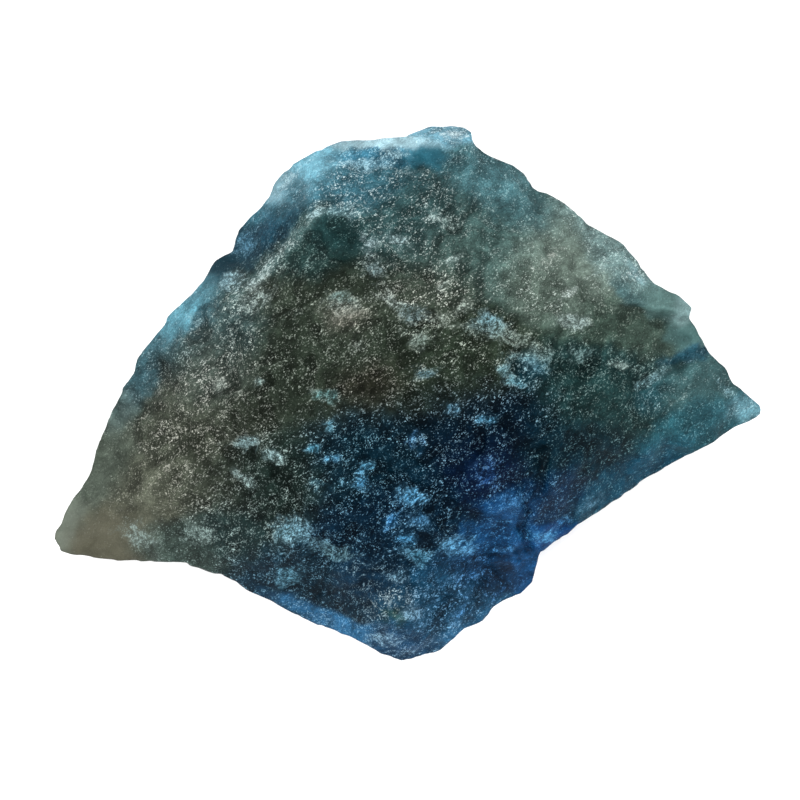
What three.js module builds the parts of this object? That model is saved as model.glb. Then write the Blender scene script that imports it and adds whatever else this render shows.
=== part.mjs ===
/*
 * Rock salt crystal: one broken, sugary lump of massive halite.
 * It lies on its flat back face with the broad worn face up.
 * Millimetres, +Z up, left tip to right tip along X, origin under the middle of the lump.
 *
 * The lump is a box grid drawn over three surfaces. The upper face is a height over the outline,
 * the back is a height over the foot, and the broken walls run from the rim in to the foot.
 */
import * as THREE from "three";
import { mergeVertices } from "three/addons/utils/BufferGeometryUtils.js";

// Driving dimensions
const LENGTH = 100;
const THICKNESS = 28;
const GRID_ACROSS = 40;
const GRID_DOWN_WALL = 8;

// Places below are in hundredths of the length, and heights in hundredths of the length too
const UNIT = LENGTH / 100;

// The salt's own colour and surface
const SALT_COLOR = "#47584f";
const SALT_ROUGHNESS = 0.42;
const SALT_METALNESS = 0;

// Outline from above, clockwise: four sides, each from one corner of the lump to the next
const SIDES = {
  leftTipToCap: [
    [-50, -20.6], [-49.9, -19.6], [-48.7, -17.7], [-47.3, -15], [-45.5, -12.6], [-44.9, -11.1],
    [-44.2, -8.6], [-43.6, -7.1], [-41.9, -3.4], [-41.1, -1.7], [-40, 0.7], [-38.4, 2.8],
    [-37.9, 5], [-36.4, 6.8], [-34.6, 9], [-33.5, 10.9], [-30.5, 13.8], [-28.4, 16],
    [-27.1, 18.5], [-24.7, 19.9], [-24.2, 21.8], [-23.8, 23.2], [-22.2, 24.6], [-19.3, 27.6],
    [-18.9, 29.1], [-17.5, 30.8], [-16, 32.1], [-12.5, 34.1], [-9.2, 35.3], [-2.6, 35.7],
    [-0.1, 35.9], [0.3, 36.2], [1.7, 36.8], [3.2, 37.4], [6.2, 37.6],
  ],
  capToRightTip: [
    [6.2, 37.6], [8, 37.3], [9, 36.6], [9.2, 35.5], [9.6, 34.6], [11.6, 33.2], [14.9, 31.9],
    [16.4, 30.8], [17.7, 29], [19.7, 28.1], [22.2, 26.6], [23.7, 25.4], [25.1, 23.9],
    [26.9, 22.8], [30.6, 20.8], [31.9, 19], [33.4, 16.9], [34.9, 15.4], [37.8, 14],
    [40, 12], [39.9, 10.5], [41.1, 8.3], [42.5, 6], [44.9, 3.6], [46.2, 1.4], [48, -0.2],
    [49.8, -1.7], [50, -2.3],
  ],
  rightTipToNub: [
    [50, -2.3], [49.9, -3], [49.3, -3.5], [46.5, -4.8], [43.6, -6.8], [40.5, -8.4], [37.5, -9.8],
    [35.4, -11.1], [32.7, -12.8], [29.3, -15.2], [26.9, -16.8], [23.9, -18.6], [22.5, -19.9],
    [20.7, -20.9], [18.9, -22.4], [18.3, -24], [17.7, -26.6], [16.1, -28.2], [13.8, -29.1],
    [12.3, -30.2], [10.7, -32], [8, -33.5], [6.1, -34.9], [4.7, -36.2], [2.9, -36.9],
    [0.7, -37.5], [-0.8, -37.6],
  ],
  nubToLeftTip: [
    [-0.8, -37.6], [-1.9, -37.4], [-3.3, -36.9], [-5.5, -35.5], [-7.3, -34.6], [-9, -34],
    [-12.7, -32.6], [-16.4, -30.8], [-19.3, -29.2], [-22.6, -27.7], [-24, -26.6], [-26.2, -25.7],
    [-30.6, -24.3], [-31, -23.9], [-31.8, -23.8], [-41.1, -23.7], [-44.7, -23.2], [-47.6, -22.8],
    [-49.1, -22.3], [-50, -20.6],
  ],
};

// Walls are drawn in towards this place
const HEART = new THREE.Vector2(-1, -1);

// Flat broken faces of the upper side: a place on each, the way it falls from +X and its slope
const UPPER_FACES = [
  { name: "broad middle", at: [-3, 6, 26.6], falls: 250, slope: 0.05 },
  { name: "towards the top rim", at: [0, 15, 26.4], falls: 80, slope: 0.22 },
  { name: "towards the left tip", at: [-20, 4, 25.6], falls: 205, slope: 0.49 },
  { name: "towards the right tip", at: [19, 0, 25], falls: -10, slope: 0.52 },
  { name: "towards the bottom nub", at: [2, -23, 23], falls: -85, slope: 0.5 },
  { name: "upper left bevel", at: [-19.6, 16.8, 25], falls: 144, slope: 1 },
  { name: "left bevel", at: [-37, 0, 17.2], falls: 153, slope: 0.8 },
  { name: "shoulder bevel", at: [-12.7, 30.3, 23.6], falls: 123, slope: 1.2 },
  { name: "top bevel", at: [-3.9, 34.3, 22.6], falls: 94, slope: 1.5 },
  { name: "upper right bevel", at: [21.3, 18.7, 23.4], falls: 53, slope: 0.75 },
  { name: "lower right bevel", at: [33, -7, 17], falls: -50, slope: 1 },
  { name: "nub bevel", at: [9.2, -29.1, 18.6], falls: -53, slope: 1 },
  { name: "lower left bevel", at: [-17.9, -26.5, 19.8], falls: 246, slope: 1.1 },
  { name: "left tip bevel", at: [-40, -18.7, 12], falls: -120, slope: 0.8 },
];
const FACE_BLEND = 0.9;

// Swellings of the upper side: place, half widths, turn in degrees and height
const LUMPS = [
  { name: "cap knob", at: [5.2, 35.6], halves: [4.6, 1.7], turn: 0, height: 1.8 },
  { name: "nub crown", at: [-2.5, -30.5], halves: [5, 3.6], turn: 10, height: 1.2 },
  { name: "ledge block", at: [14.6, -15.6], halves: [3.4, 2.2], turn: 25, height: 1.7 },
  { name: "block above the notch", at: [19.4, -19.4], halves: [3.6, 1.6], turn: 35, height: 1.3 },
  { name: "fan facet", at: [40, -1], halves: [7.5, 3], turn: -10, height: 1 },
  { name: "right shoulder facet", at: [34.5, 12.6], halves: [6, 2.6], turn: -35, height: 1.2 },
  { name: "middle swell", at: [-8.9, 13.2], halves: [5, 4], turn: 0, height: 0.6 },
  { name: "right swell", at: [16.8, 3.3], halves: [3.8, 3.6], turn: 0, height: 0.8 },
  { name: "lower left swell", at: [-16.7, -20.2], halves: [3.2, 2.8], turn: 0, height: 0.9 },
  { name: "tip swell", at: [-34.5, -19.6], halves: [4.5, 2], turn: 15, height: 0.6 },
];

// Spoon shaped scars with a sharp rim, where flakes have come off: place, half widths, turn, depth
const SCARS = [
  { name: "dark hollow", at: [-10.3, 22.4], halves: [4.6, 3.2], turn: -10, depth: 1.3 },
  { name: "left tip", at: [-39.5, -19], halves: [7.5, 4.5], turn: 10, depth: 0.7 },
  { name: "left edge", at: [-40.5, -6], halves: [3.5, 7], turn: -25, depth: 1 },
  { name: "under the shoulder", at: [-22.5, 21.5], halves: [3, 4.5], turn: -35, depth: 1.3 },
  { name: "upper right", at: [27.5, 21], halves: [6, 2.8], turn: -35, depth: 1 },
  { name: "beside the notch", at: [15.5, -25.6], halves: [3.4, 3], turn: 0, depth: 0.8 },
  { name: "middle", at: [3.4, -1], halves: [6, 4], turn: 20, depth: 0.6 },
  { name: "lower middle", at: [-6, -13], halves: [7, 4.5], turn: -20, depth: 0.9 },
  { name: "right of middle", at: [24, -8], halves: [6, 3.5], turn: 20, depth: 0.8 },
  { name: "under the top rim", at: [13, 26], halves: [5, 3.4], turn: -30, depth: 0.9 },
];

// Narrow lines between two places: a groove has a depth above zero, and a ridge one below zero
const LINES = [
  { name: "speckled ridge, top", from: [-10.3, 25.4], to: [-15.3, 21.8], half: 1, depth: -0.9 },
  { name: "speckled ridge, middle", from: [-15.3, 21.8], to: [-19.6, 16.8], half: 1, depth: -1 },
  { name: "speckled ridge, foot", from: [-19.6, 16.8], to: [-24.6, 12.6], half: 1.2, depth: -0.7 },
  { name: "crease under the rim", from: [-7, 32.3], to: [7.6, 32.4], half: 1.3, depth: 0.9 },
  { name: "right groove, outer", from: [42.6, 6.2], to: [38.2, 3.9], half: 1, depth: 1.4 },
  { name: "right groove, inner", from: [38.2, 3.9], to: [32.4, 1.3], half: 1, depth: 1 },
  { name: "ledge groove", from: [15.9, -17.6], to: [17, -21.6], half: 0.9, depth: 1.3 },
  { name: "ledge line", from: [9.6, -22.6], to: [16.6, -21.8], half: 0.8, depth: 0.9 },
  { name: "tip facet line", from: [44.8, 1.3], to: [46.4, -3.6], half: 0.8, depth: 0.5 },
];

// Steps: the ground drops on the right hand of the line and climbs back over its reach
const STEPS = [
  { name: "below the right facet", from: [31.8, 12.2], to: [40.2, 10.6], drop: 1.6, reach: 7 },
  { name: "ledge step", from: [9.4, -16.2], to: [15.6, -18.4], drop: 1.2, reach: 5 },
];
const STEP_EDGE = 0.7;

// Broken texture that the solid carries: size across and height of each kind
const SWELLS = [{ size: 10, height: 0.6 }, { size: 5, height: 0.35 }];
const CHIPS = [{ size: 9, slope: 0.15 }, { size: 5, slope: 0.11 }];
const CHIP_SHARPNESS = 10;

// Smooth places of the upper side: place, half widths, turn and the share of texture lost there
const SMOOTH_PLACES = [
  { name: "left tip", at: [-45, -19], halves: [10, 6], turn: 20, share: 0.75 },
  { name: "right tip", at: [47, -1.5], halves: [6, 4], turn: 0, share: 0.6 },
];

// Walls: how far the foot is drawn in, and how blocky the break is
const FOOT_INSET = 4.2;
const FOOT_INSET_CHANGE = 2.6;
const WALL_BLOCK = 6.2;
const WALL_BLOCK_DEPTH = 0.8;
const WALL_CURVE = 2;
const WALL_CHIP = { size: 7, slope: 0.3 };
const BLOCK_TURN = 0.35;

// Back: a flat cleavage patch with shallow broken hollows around it
const BACK_FLAT_RADIUS = 15;
const BACK_SWELL = { size: 11, height: 1.5 };
const BACK_CHIP = { size: 6.5, slope: 0.3 };
const BACK_EDGE_LIFT = 2.2;
const BACK_EDGE_START = 0.8;
const BACK_SCARS = [
  { name: "large hollow", at: [20, 7], halves: [11, 7], turn: -20, depth: 1.6 },
  { name: "left hollow", at: [-27, -8], halves: [10, 6], turn: 25, depth: 1.4 },
  { name: "small hollow", at: [2, -24], halves: [6, 4.5], turn: 0, depth: 1.2 },
];

// Kinds of scattered values, so that no two textures share the same draw
const KIND = { swell: 1, chipPlace: 11, chipTilt: 21, block: 31, foot: 41, back: 51 };

/** The value from 0 to 1 that belongs to one cell of an endless lattice. */
function cellValue(i, j, k, kind) {
  let bits = Math.imul(i, 374761393) + Math.imul(j, 668265263);
  bits += Math.imul(k, 1274126177) + Math.imul(kind, 1442695041);
  bits = Math.imul(bits ^ (bits >>> 13), 1103515245);
  bits = Math.imul(bits ^ (bits >>> 15), 739982445);
  return ((bits ^ (bits >>> 16)) >>> 0) / 4294967296;
}

/** Smooth swelling from -1 to 1, with hills of about the given size. */
function swell(x, y, z, size, kind) {
  const place = [x / size, y / size, z / size];
  const cell = place.map(Math.floor);
  const part = place.map((value, axis) => THREE.MathUtils.smoothstep(value - cell[axis], 0, 1));
  let sum = 0;
  for (let corner = 0; corner < 8; corner += 1) {
    const step = [corner & 1, (corner >> 1) & 1, corner >> 2];
    const weight = step.reduce((product, on, axis) => product * (on ? part[axis] : 1 - part[axis]), 1);
    sum += weight * cellValue(cell[0] + step[0], cell[1] + step[1], cell[2] + step[2], kind);
  }
  return 2 * sum - 1;
}

/** Height of broken chips: scattered tilted flats, where the nearest one counts most. */
function chips(x, y, z, { size, slope }) {
  const place = [x / size, y / size, z / size];
  const cell = place.map(Math.floor);
  let total = 0;
  let height = 0;
  for (let i = cell[0] - 1; i <= cell[0] + 1; i += 1) {
    for (let j = cell[1] - 1; j <= cell[1] + 1; j += 1) {
      for (let k = cell[2] - 1; k <= cell[2] + 1; k += 1) {
        const dx = place[0] - i - cellValue(i, j, k, KIND.chipPlace);
        const dy = place[1] - j - cellValue(i, j, k, KIND.chipPlace + 1);
        const dz = place[2] - k - cellValue(i, j, k, KIND.chipPlace + 2);
        const tiltX = 2 * cellValue(i, j, k, KIND.chipTilt) - 1;
        const tiltY = 2 * cellValue(i, j, k, KIND.chipTilt + 1) - 1;
        const tiltZ = 2 * cellValue(i, j, k, KIND.chipTilt + 2) - 1;
        const weight = Math.exp(-CHIP_SHARPNESS * (dx * dx + dy * dy + dz * dz));
        total += weight;
        height += weight * (tiltX * dx + tiltY * dy + tiltZ * dz);
      }
    }
  }
  return (2 * slope * size * height) / total;
}

/** Squared distance from the middle of a lump or scar, counted in its half widths. */
function ovalDistance(x, y, { at, halves, turn }) {
  const angle = THREE.MathUtils.degToRad(turn);
  const dx = x - at[0];
  const dy = y - at[1];
  const along = (dx * Math.cos(angle) + dy * Math.sin(angle)) / halves[0];
  const across = (dy * Math.cos(angle) - dx * Math.sin(angle)) / halves[1];
  return along * along + across * across;
}

/** Where a place lies beside the line between two places: along it, off its ends and to its right. */
function beside(x, y, { from, to }) {
  const length = Math.hypot(to[0] - from[0], to[1] - from[1]);
  const dirX = (to[0] - from[0]) / length;
  const dirY = (to[1] - from[1]) / length;
  const along = (x - from[0]) * dirX + (y - from[1]) * dirY;
  const right = (x - from[0]) * dirY - (y - from[1]) * dirX;
  const past = Math.max(0, -along, along - length);
  return { right, past, distance: Math.hypot(right, past) };
}

/** Height of the upper side's flat faces: the lowest face wins, with softened edges. */
function upperFaces(x, y) {
  let sum = 0;
  for (const { at, falls, slope } of UPPER_FACES) {
    const angle = THREE.MathUtils.degToRad(falls);
    const run = (x - at[0]) * Math.cos(angle) + (y - at[1]) * Math.sin(angle);
    sum += Math.exp(-(at[2] - slope * run) / FACE_BLEND);
  }
  return -FACE_BLEND * Math.log(sum);
}

/** Sum of the lumps, scars, lines and steps on the upper side. */
function upperRelief(x, y) {
  let height = 0;
  for (const lump of LUMPS) {
    height += lump.height * Math.exp(-ovalDistance(x, y, lump));
  }
  for (const scar of SCARS) {
    height -= scar.depth * Math.max(0, 1 - ovalDistance(x, y, scar));
  }
  for (const line of LINES) {
    height -= line.depth * Math.exp(-((beside(x, y, line).distance / line.half) ** 2));
  }
  for (const step of STEPS) {
    const { right, past } = beside(x, y, step);
    const edge = THREE.MathUtils.smoothstep(right, -STEP_EDGE, STEP_EDGE);
    height -= step.drop * edge * Math.exp(-Math.max(0, right) / step.reach - past / 2);
  }
  return height;
}

/** Height of the broken texture that the solid carries. */
function brokenTexture(x, y) {
  let height = 0;
  SWELLS.forEach(({ size, height: tall }, index) => {
    height += tall * swell(x, y, 0, size, KIND.swell + index);
  });
  for (const kind of CHIPS) {
    height += chips(x, y, 0, kind);
  }
  for (const place of SMOOTH_PLACES) {
    height *= 1 - place.share * Math.exp(-ovalDistance(x, y, place));
  }
  return height;
}

/** Height of the upper side over a place, before the lump is set to its thickness. */
function upperHeight(x, y) {
  return upperFaces(x, y) + upperRelief(x, y) + brokenTexture(x, y);
}

/** Height of the back over a place, where reach is 0 at the heart and 1 at the foot's edge. */
function backHeight(x, y, reach) {
  const fromPatch = Math.max(0, Math.hypot(x - HEART.x, y - HEART.y) / BACK_FLAT_RADIUS - 1);
  const broken = Math.min(1, fromPatch);
  let lift = BACK_SWELL.height * (swell(x, y, 0, BACK_SWELL.size, KIND.back) - 0.25);
  lift += chips(x, y, 0, BACK_CHIP);
  for (const scar of BACK_SCARS) {
    lift += scar.depth * Math.max(0, 1 - ovalDistance(x, y, scar));
  }
  lift += BACK_EDGE_LIFT * Math.max(0, (reach - BACK_EDGE_START) / (1 - BACK_EDGE_START)) ** 2;
  return Math.max(0, lift * broken);
}

/** The four sides as paths of straight breaks. */
function sidePaths() {
  return Object.values(SIDES).map(
    (side) => new THREE.Path(side.map(([x, y]) => new THREE.Vector2(x, y))),
  );
}

/** Place in the patch that four sides span, for shares across and up from 0 to 1. */
function patchPlace([left, top, right, bottom], across, up, draw) {
  const onLeft = draw(left.getPoint(up));
  const onTop = draw(top.getPoint(across));
  const onRight = draw(right.getPoint(1 - up));
  const onBottom = draw(bottom.getPoint(1 - across));
  const low = draw(left.getPoint(0)).lerp(draw(right.getPoint(1)), across);
  const high = draw(left.getPoint(1)).lerp(draw(right.getPoint(0)), across);
  const between = onLeft.lerp(onRight, across);
  return between.add(onBottom.lerp(onTop, up)).sub(low.lerp(high, up));
}

/** How far the foot of the wall is drawn in towards the heart, for a place on the rim. */
function footInset(x, y) {
  return FOOT_INSET + FOOT_INSET_CHANGE * swell(x, y, 0, 16, KIND.foot);
}

/** How far the wall is broken in at a place, from 0 at the rim to the foot's inset. */
function wallInset(x, y, z, down) {
  const turnedX = x * Math.cos(BLOCK_TURN) + y * Math.sin(BLOCK_TURN);
  const turnedY = y * Math.cos(BLOCK_TURN) - x * Math.sin(BLOCK_TURN);
  const cell = [turnedX, turnedY, z].map((value) => Math.floor(value / WALL_BLOCK));
  const block = WALL_BLOCK_DEPTH * cellValue(cell[0], cell[1], cell[2], KIND.block);
  const broken = block + Math.abs(chips(x, y, z, WALL_CHIP));
  const middle = 4 * down * (1 - down);
  return footInset(x, y) * down ** WALL_CURVE + broken * middle;
}

/** One place of the lump, drawn in towards the heart by an inset. */
function drawnIn(rim, inset) {
  const outward = rim.clone().sub(HEART);
  return outward.setLength(outward.length() - inset).add(HEART);
}

/** Place on the lump for one corner of the box grid, where up runs from -1 at the back to 1. */
function lumpPlace(paths, u, v, up) {
  const across = (u + 1) / 2;
  const along = (v + 1) / 2;
  const toRim = (point) => point;
  const toFoot = (point) => drawnIn(point, footInset(point.x, point.y));
  const rim = patchPlace(paths, across, along, toRim);
  if (up === 1) {
    return new THREE.Vector3(rim.x, rim.y, upperHeight(rim.x, rim.y));
  }
  const foot = patchPlace(paths, across, along, toFoot);
  const reach = Math.max(Math.abs(u), Math.abs(v));
  const bottom = backHeight(foot.x, foot.y, reach);
  if (up === -1) {
    return new THREE.Vector3(foot.x, foot.y, bottom);
  }
  const down = (1 - up) / 2;
  const z = THREE.MathUtils.lerp(upperHeight(rim.x, rim.y), bottom, down);
  const place = drawnIn(rim, wallInset(rim.x, rim.y, z, down));
  return new THREE.Vector3(place.x, place.y, z);
}

/** The whole lump as one closed geometry. */
function lumpGeometry() {
  const box = new THREE.BoxGeometry(2, 2, 2, GRID_ACROSS, GRID_ACROSS, GRID_DOWN_WALL);
  box.deleteAttribute("normal");
  box.deleteAttribute("uv");
  const geometry = mergeVertices(box);
  const paths = sidePaths();
  const position = geometry.attributes.position;
  let highest = 0;
  for (let index = 0; index < position.count; index += 1) {
    const place = lumpPlace(paths, position.getX(index), position.getY(index), position.getZ(index));
    position.setXYZ(index, place.x, place.y, place.z);
    highest = Math.max(highest, place.z);
  }
  geometry.scale(UNIT, UNIT, THICKNESS / highest);
  geometry.computeBoundingBox();
  const middle = geometry.boundingBox.getCenter(new THREE.Vector3());
  geometry.translate(-middle.x, -middle.y, -geometry.boundingBox.min.z);
  geometry.computeVertexNormals();
  return geometry;
}

const salt = new THREE.MeshStandardMaterial({
  color: SALT_COLOR,
  roughness: SALT_ROUGHNESS,
  metalness: SALT_METALNESS,
  flatShading: true,
});

const crystal = new THREE.Mesh(lumpGeometry(), salt);
crystal.name = "rock_salt_crystal";

const lump = new THREE.Group();
lump.add(crystal);

export default lump;
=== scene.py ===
"""Rock salt crystal: one broken, sugary lump of massive halite, lying on its flat back.

The lump is a box grid drawn over three surfaces, all worked out as whole numpy arrays. The upper
side is a height over the outline, the back is a height over the foot, and the broken walls run
from the rim in to the foot. Places are in hundredths of the lump's length until the last step,
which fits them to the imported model's box in metres.
"""

import logging
import math
from collections.abc import Callable, Mapping, Sequence
from dataclasses import dataclass
from enum import Enum, IntEnum
from functools import partial

import bpy
import numpy as np
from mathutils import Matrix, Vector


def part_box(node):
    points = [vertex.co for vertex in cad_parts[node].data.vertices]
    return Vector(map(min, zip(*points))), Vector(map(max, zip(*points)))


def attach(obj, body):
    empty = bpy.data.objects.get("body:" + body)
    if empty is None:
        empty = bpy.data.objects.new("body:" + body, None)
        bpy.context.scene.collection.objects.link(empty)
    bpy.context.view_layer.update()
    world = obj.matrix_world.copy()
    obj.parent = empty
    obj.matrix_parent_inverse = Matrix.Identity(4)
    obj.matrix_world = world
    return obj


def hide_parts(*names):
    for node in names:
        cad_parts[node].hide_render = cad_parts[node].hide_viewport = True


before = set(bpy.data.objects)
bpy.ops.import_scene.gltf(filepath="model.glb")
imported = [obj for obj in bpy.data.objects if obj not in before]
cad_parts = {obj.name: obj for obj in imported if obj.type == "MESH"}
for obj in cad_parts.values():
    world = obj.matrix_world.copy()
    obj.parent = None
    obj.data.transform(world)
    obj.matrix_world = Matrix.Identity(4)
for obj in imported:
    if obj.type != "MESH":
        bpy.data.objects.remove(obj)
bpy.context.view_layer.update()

LOG = logging.getLogger("rock_salt")

CAD_NODE = "rock_salt_crystal"
PIECE = "rock_salt_lump"
BODY = "root"

MM = 0.001
# The lump's length in the script's own units
LENGTH = 100.0

Array = np.ndarray
Place = tuple[float, float]
Socket = bpy.types.NodeSocket
AddNode = Callable[..., Socket]


# Outline and relief, the same driving values as the solid


# Outline from above, clockwise: four sides, each from one corner of the lump to the next
LEFT_TIP_TO_CAP = (
    (-50, -20.6), (-49.9, -19.6), (-48.7, -17.7), (-47.3, -15), (-45.5, -12.6), (-44.9, -11.1),
    (-44.2, -8.6), (-43.6, -7.1), (-41.9, -3.4), (-41.1, -1.7), (-40, 0.7), (-38.4, 2.8),
    (-37.9, 5), (-36.4, 6.8), (-34.6, 9), (-33.5, 10.9), (-30.5, 13.8), (-28.4, 16),
    (-27.1, 18.5), (-24.7, 19.9), (-24.2, 21.8), (-23.8, 23.2), (-22.2, 24.6), (-19.3, 27.6),
    (-18.9, 29.1), (-17.5, 30.8), (-16, 32.1), (-12.5, 34.1), (-9.2, 35.3), (-2.6, 35.7),
    (-0.1, 35.9), (0.3, 36.2), (1.7, 36.8), (3.2, 37.4), (6.2, 37.6),
)
CAP_TO_RIGHT_TIP = (
    (6.2, 37.6), (8, 37.3), (9, 36.6), (9.2, 35.5), (9.6, 34.6), (11.6, 33.2), (14.9, 31.9),
    (16.4, 30.8), (17.7, 29), (19.7, 28.1), (22.2, 26.6), (23.7, 25.4), (25.1, 23.9),
    (26.9, 22.8), (30.6, 20.8), (31.9, 19), (33.4, 16.9), (34.9, 15.4), (37.8, 14),
    (40, 12), (39.9, 10.5), (41.1, 8.3), (42.5, 6), (44.9, 3.6), (46.2, 1.4), (48, -0.2),
    (49.8, -1.7), (50, -2.3),
)
RIGHT_TIP_TO_NUB = (
    (50, -2.3), (49.9, -3), (49.3, -3.5), (46.5, -4.8), (43.6, -6.8), (40.5, -8.4), (37.5, -9.8),
    (35.4, -11.1), (32.7, -12.8), (29.3, -15.2), (26.9, -16.8), (23.9, -18.6), (22.5, -19.9),
    (20.7, -20.9), (18.9, -22.4), (18.3, -24), (17.7, -26.6), (16.1, -28.2), (13.8, -29.1),
    (12.3, -30.2), (10.7, -32), (8, -33.5), (6.1, -34.9), (4.7, -36.2), (2.9, -36.9),
    (0.7, -37.5), (-0.8, -37.6),
)
NUB_TO_LEFT_TIP = (
    (-0.8, -37.6), (-1.9, -37.4), (-3.3, -36.9), (-5.5, -35.5), (-7.3, -34.6), (-9, -34),
    (-12.7, -32.6), (-16.4, -30.8), (-19.3, -29.2), (-22.6, -27.7), (-24, -26.6), (-26.2, -25.7),
    (-30.6, -24.3), (-31, -23.9), (-31.8, -23.8), (-41.1, -23.7), (-44.7, -23.2), (-47.6, -22.8),
    (-49.1, -22.3), (-50, -20.6),
)

# The middle place, which the rim is drawn in towards
HEART = np.array((-1.0, -1.0))


@dataclass(frozen=True)
class Face:
    """A flat broken face: a place on it with its height, the way it falls and its slope."""

    name: str
    at: tuple[float, float, float]
    falls: float
    slope: float


@dataclass(frozen=True)
class Spot:
    """An oval place on the lump: its middle, half widths and turn in degrees."""

    name: str
    at: Place
    halves: Place
    turn: float


@dataclass(frozen=True)
class Oval(Spot):
    """A swelling, scar or soft patch, with its height, depth or share."""

    strength: float


@dataclass(frozen=True)
class Line:
    """A groove with a depth above zero, or a ridge with one below zero."""

    name: str
    start: Place
    end: Place
    half: float
    depth: float


@dataclass(frozen=True)
class Step:
    """A step that drops on the right hand of its line and climbs back over its reach."""

    name: str
    start: Place
    end: Place
    drop: float
    reach: float


@dataclass(frozen=True)
class Texture:
    """One size of broken texture: how wide its hills or chips are, and how tall or steep."""

    size: float
    strength: float


UPPER_FACES = (
    Face("broad middle", (-3, 6, 26.6), 250, 0.05),
    Face("towards the top rim", (0, 15, 26.4), 80, 0.22),
    Face("towards the left tip", (-20, 4, 25.6), 205, 0.49),
    Face("towards the right tip", (19, 0, 25), -10, 0.52),
    Face("towards the bottom nub", (2, -23, 23), -85, 0.5),
    Face("upper left bevel", (-19.6, 16.8, 25), 144, 1),
    Face("left bevel", (-37, 0, 17.2), 153, 0.8),
    Face("shoulder bevel", (-12.7, 30.3, 23.6), 123, 1.2),
    Face("top bevel", (-3.9, 34.3, 22.6), 94, 1.5),
    Face("upper right bevel", (21.3, 18.7, 23.4), 53, 0.75),
    Face("lower right bevel", (33, -7, 17), -50, 1),
    Face("nub bevel", (9.2, -29.1, 18.6), -53, 1),
    Face("lower left bevel", (-17.9, -26.5, 19.8), 246, 1.1),
    Face("left tip bevel", (-40, -18.7, 12), -120, 0.8),
)

LUMPS = (
    Oval("cap knob", (5.2, 35.6), (4.6, 1.7), 0, 1.8),
    Oval("nub crown", (-2.5, -30.5), (5, 3.6), 10, 1.2),
    Oval("ledge block", (14.6, -15.6), (3.4, 2.2), 25, 1.7),
    Oval("block above the notch", (19.4, -19.4), (3.6, 1.6), 35, 1.3),
    Oval("fan facet", (40, -1), (7.5, 3), -10, 1),
    Oval("right shoulder facet", (34.5, 12.6), (6, 2.6), -35, 1.2),
    Oval("middle swell", (-8.9, 13.2), (5, 4), 0, 0.6),
    Oval("right swell", (16.8, 3.3), (3.8, 3.6), 0, 0.8),
    Oval("lower left swell", (-16.7, -20.2), (3.2, 2.8), 0, 0.9),
    Oval("tip swell", (-34.5, -19.6), (4.5, 2), 15, 0.6),
)

SCARS = (
    Oval("dark hollow", (-10.3, 22.4), (4.6, 3.2), -10, 1.3),
    Oval("left tip", (-39.5, -19), (7.5, 4.5), 10, 0.7),
    Oval("left edge", (-40.5, -6), (3.5, 7), -25, 1),
    Oval("under the shoulder", (-22.5, 21.5), (3, 4.5), -35, 1.3),
    Oval("upper right", (27.5, 21), (6, 2.8), -35, 1),
    Oval("beside the notch", (15.5, -25.6), (3.4, 3), 0, 0.8),
    Oval("middle", (3.4, -1), (6, 4), 20, 0.6),
    Oval("lower middle", (-6, -13), (7, 4.5), -20, 0.9),
    Oval("right of middle", (24, -8), (6, 3.5), 20, 0.8),
    Oval("under the top rim", (13, 26), (5, 3.4), -30, 0.9),
)

LINES = (
    Line("speckled ridge, top", (-10.3, 25.4), (-15.3, 21.8), 1, -0.9),
    Line("speckled ridge, middle", (-15.3, 21.8), (-19.6, 16.8), 1, -1),
    Line("speckled ridge, foot", (-19.6, 16.8), (-24.6, 12.6), 1.2, -0.7),
    Line("crease under the rim", (-7, 32.3), (7.6, 32.4), 1.3, 0.9),
    Line("right groove, outer", (42.6, 6.2), (38.2, 3.9), 1, 1.4),
    Line("right groove, inner", (38.2, 3.9), (32.4, 1.3), 1, 1),
    Line("ledge groove", (15.9, -17.6), (17, -21.6), 0.9, 1.3),
    Line("ledge line", (9.6, -22.6), (16.6, -21.8), 0.8, 0.9),
    Line("tip facet line", (44.8, 1.3), (46.4, -3.6), 0.8, 0.5),
)

STEPS = (
    Step("below the right facet", (31.8, 12.2), (40.2, 10.6), 1.6, 7),
    Step("ledge step", (9.4, -16.2), (15.6, -18.4), 1.2, 5),
)

SWELLS = (Texture(10, 0.6), Texture(5, 0.35))
CHIPS = (Texture(9, 0.15), Texture(5, 0.11))
CHIP_SHARPNESS = 10.0

SMOOTH_PLACES = (
    Oval("left tip", (-45, -19), (10, 6), 20, 0.75),
    Oval("right tip", (47, -1.5), (6, 4), 0, 0.6),
)

BACK_SCARS = (
    Oval("large hollow", (20, 7), (11, 7), -20, 1.6),
    Oval("left hollow", (-27, -8), (10, 6), 25, 1.4),
    Oval("small hollow", (2, -24), (6, 4.5), 0, 1.2),
)

# Finer breaks that only the visual model carries: chips and sugary grains
FINE_CHIPS = (Texture(2.3, 0.1), Texture(1.15, 0.1))
FINE_SWELL = Texture(0.8, 0.04)
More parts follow.
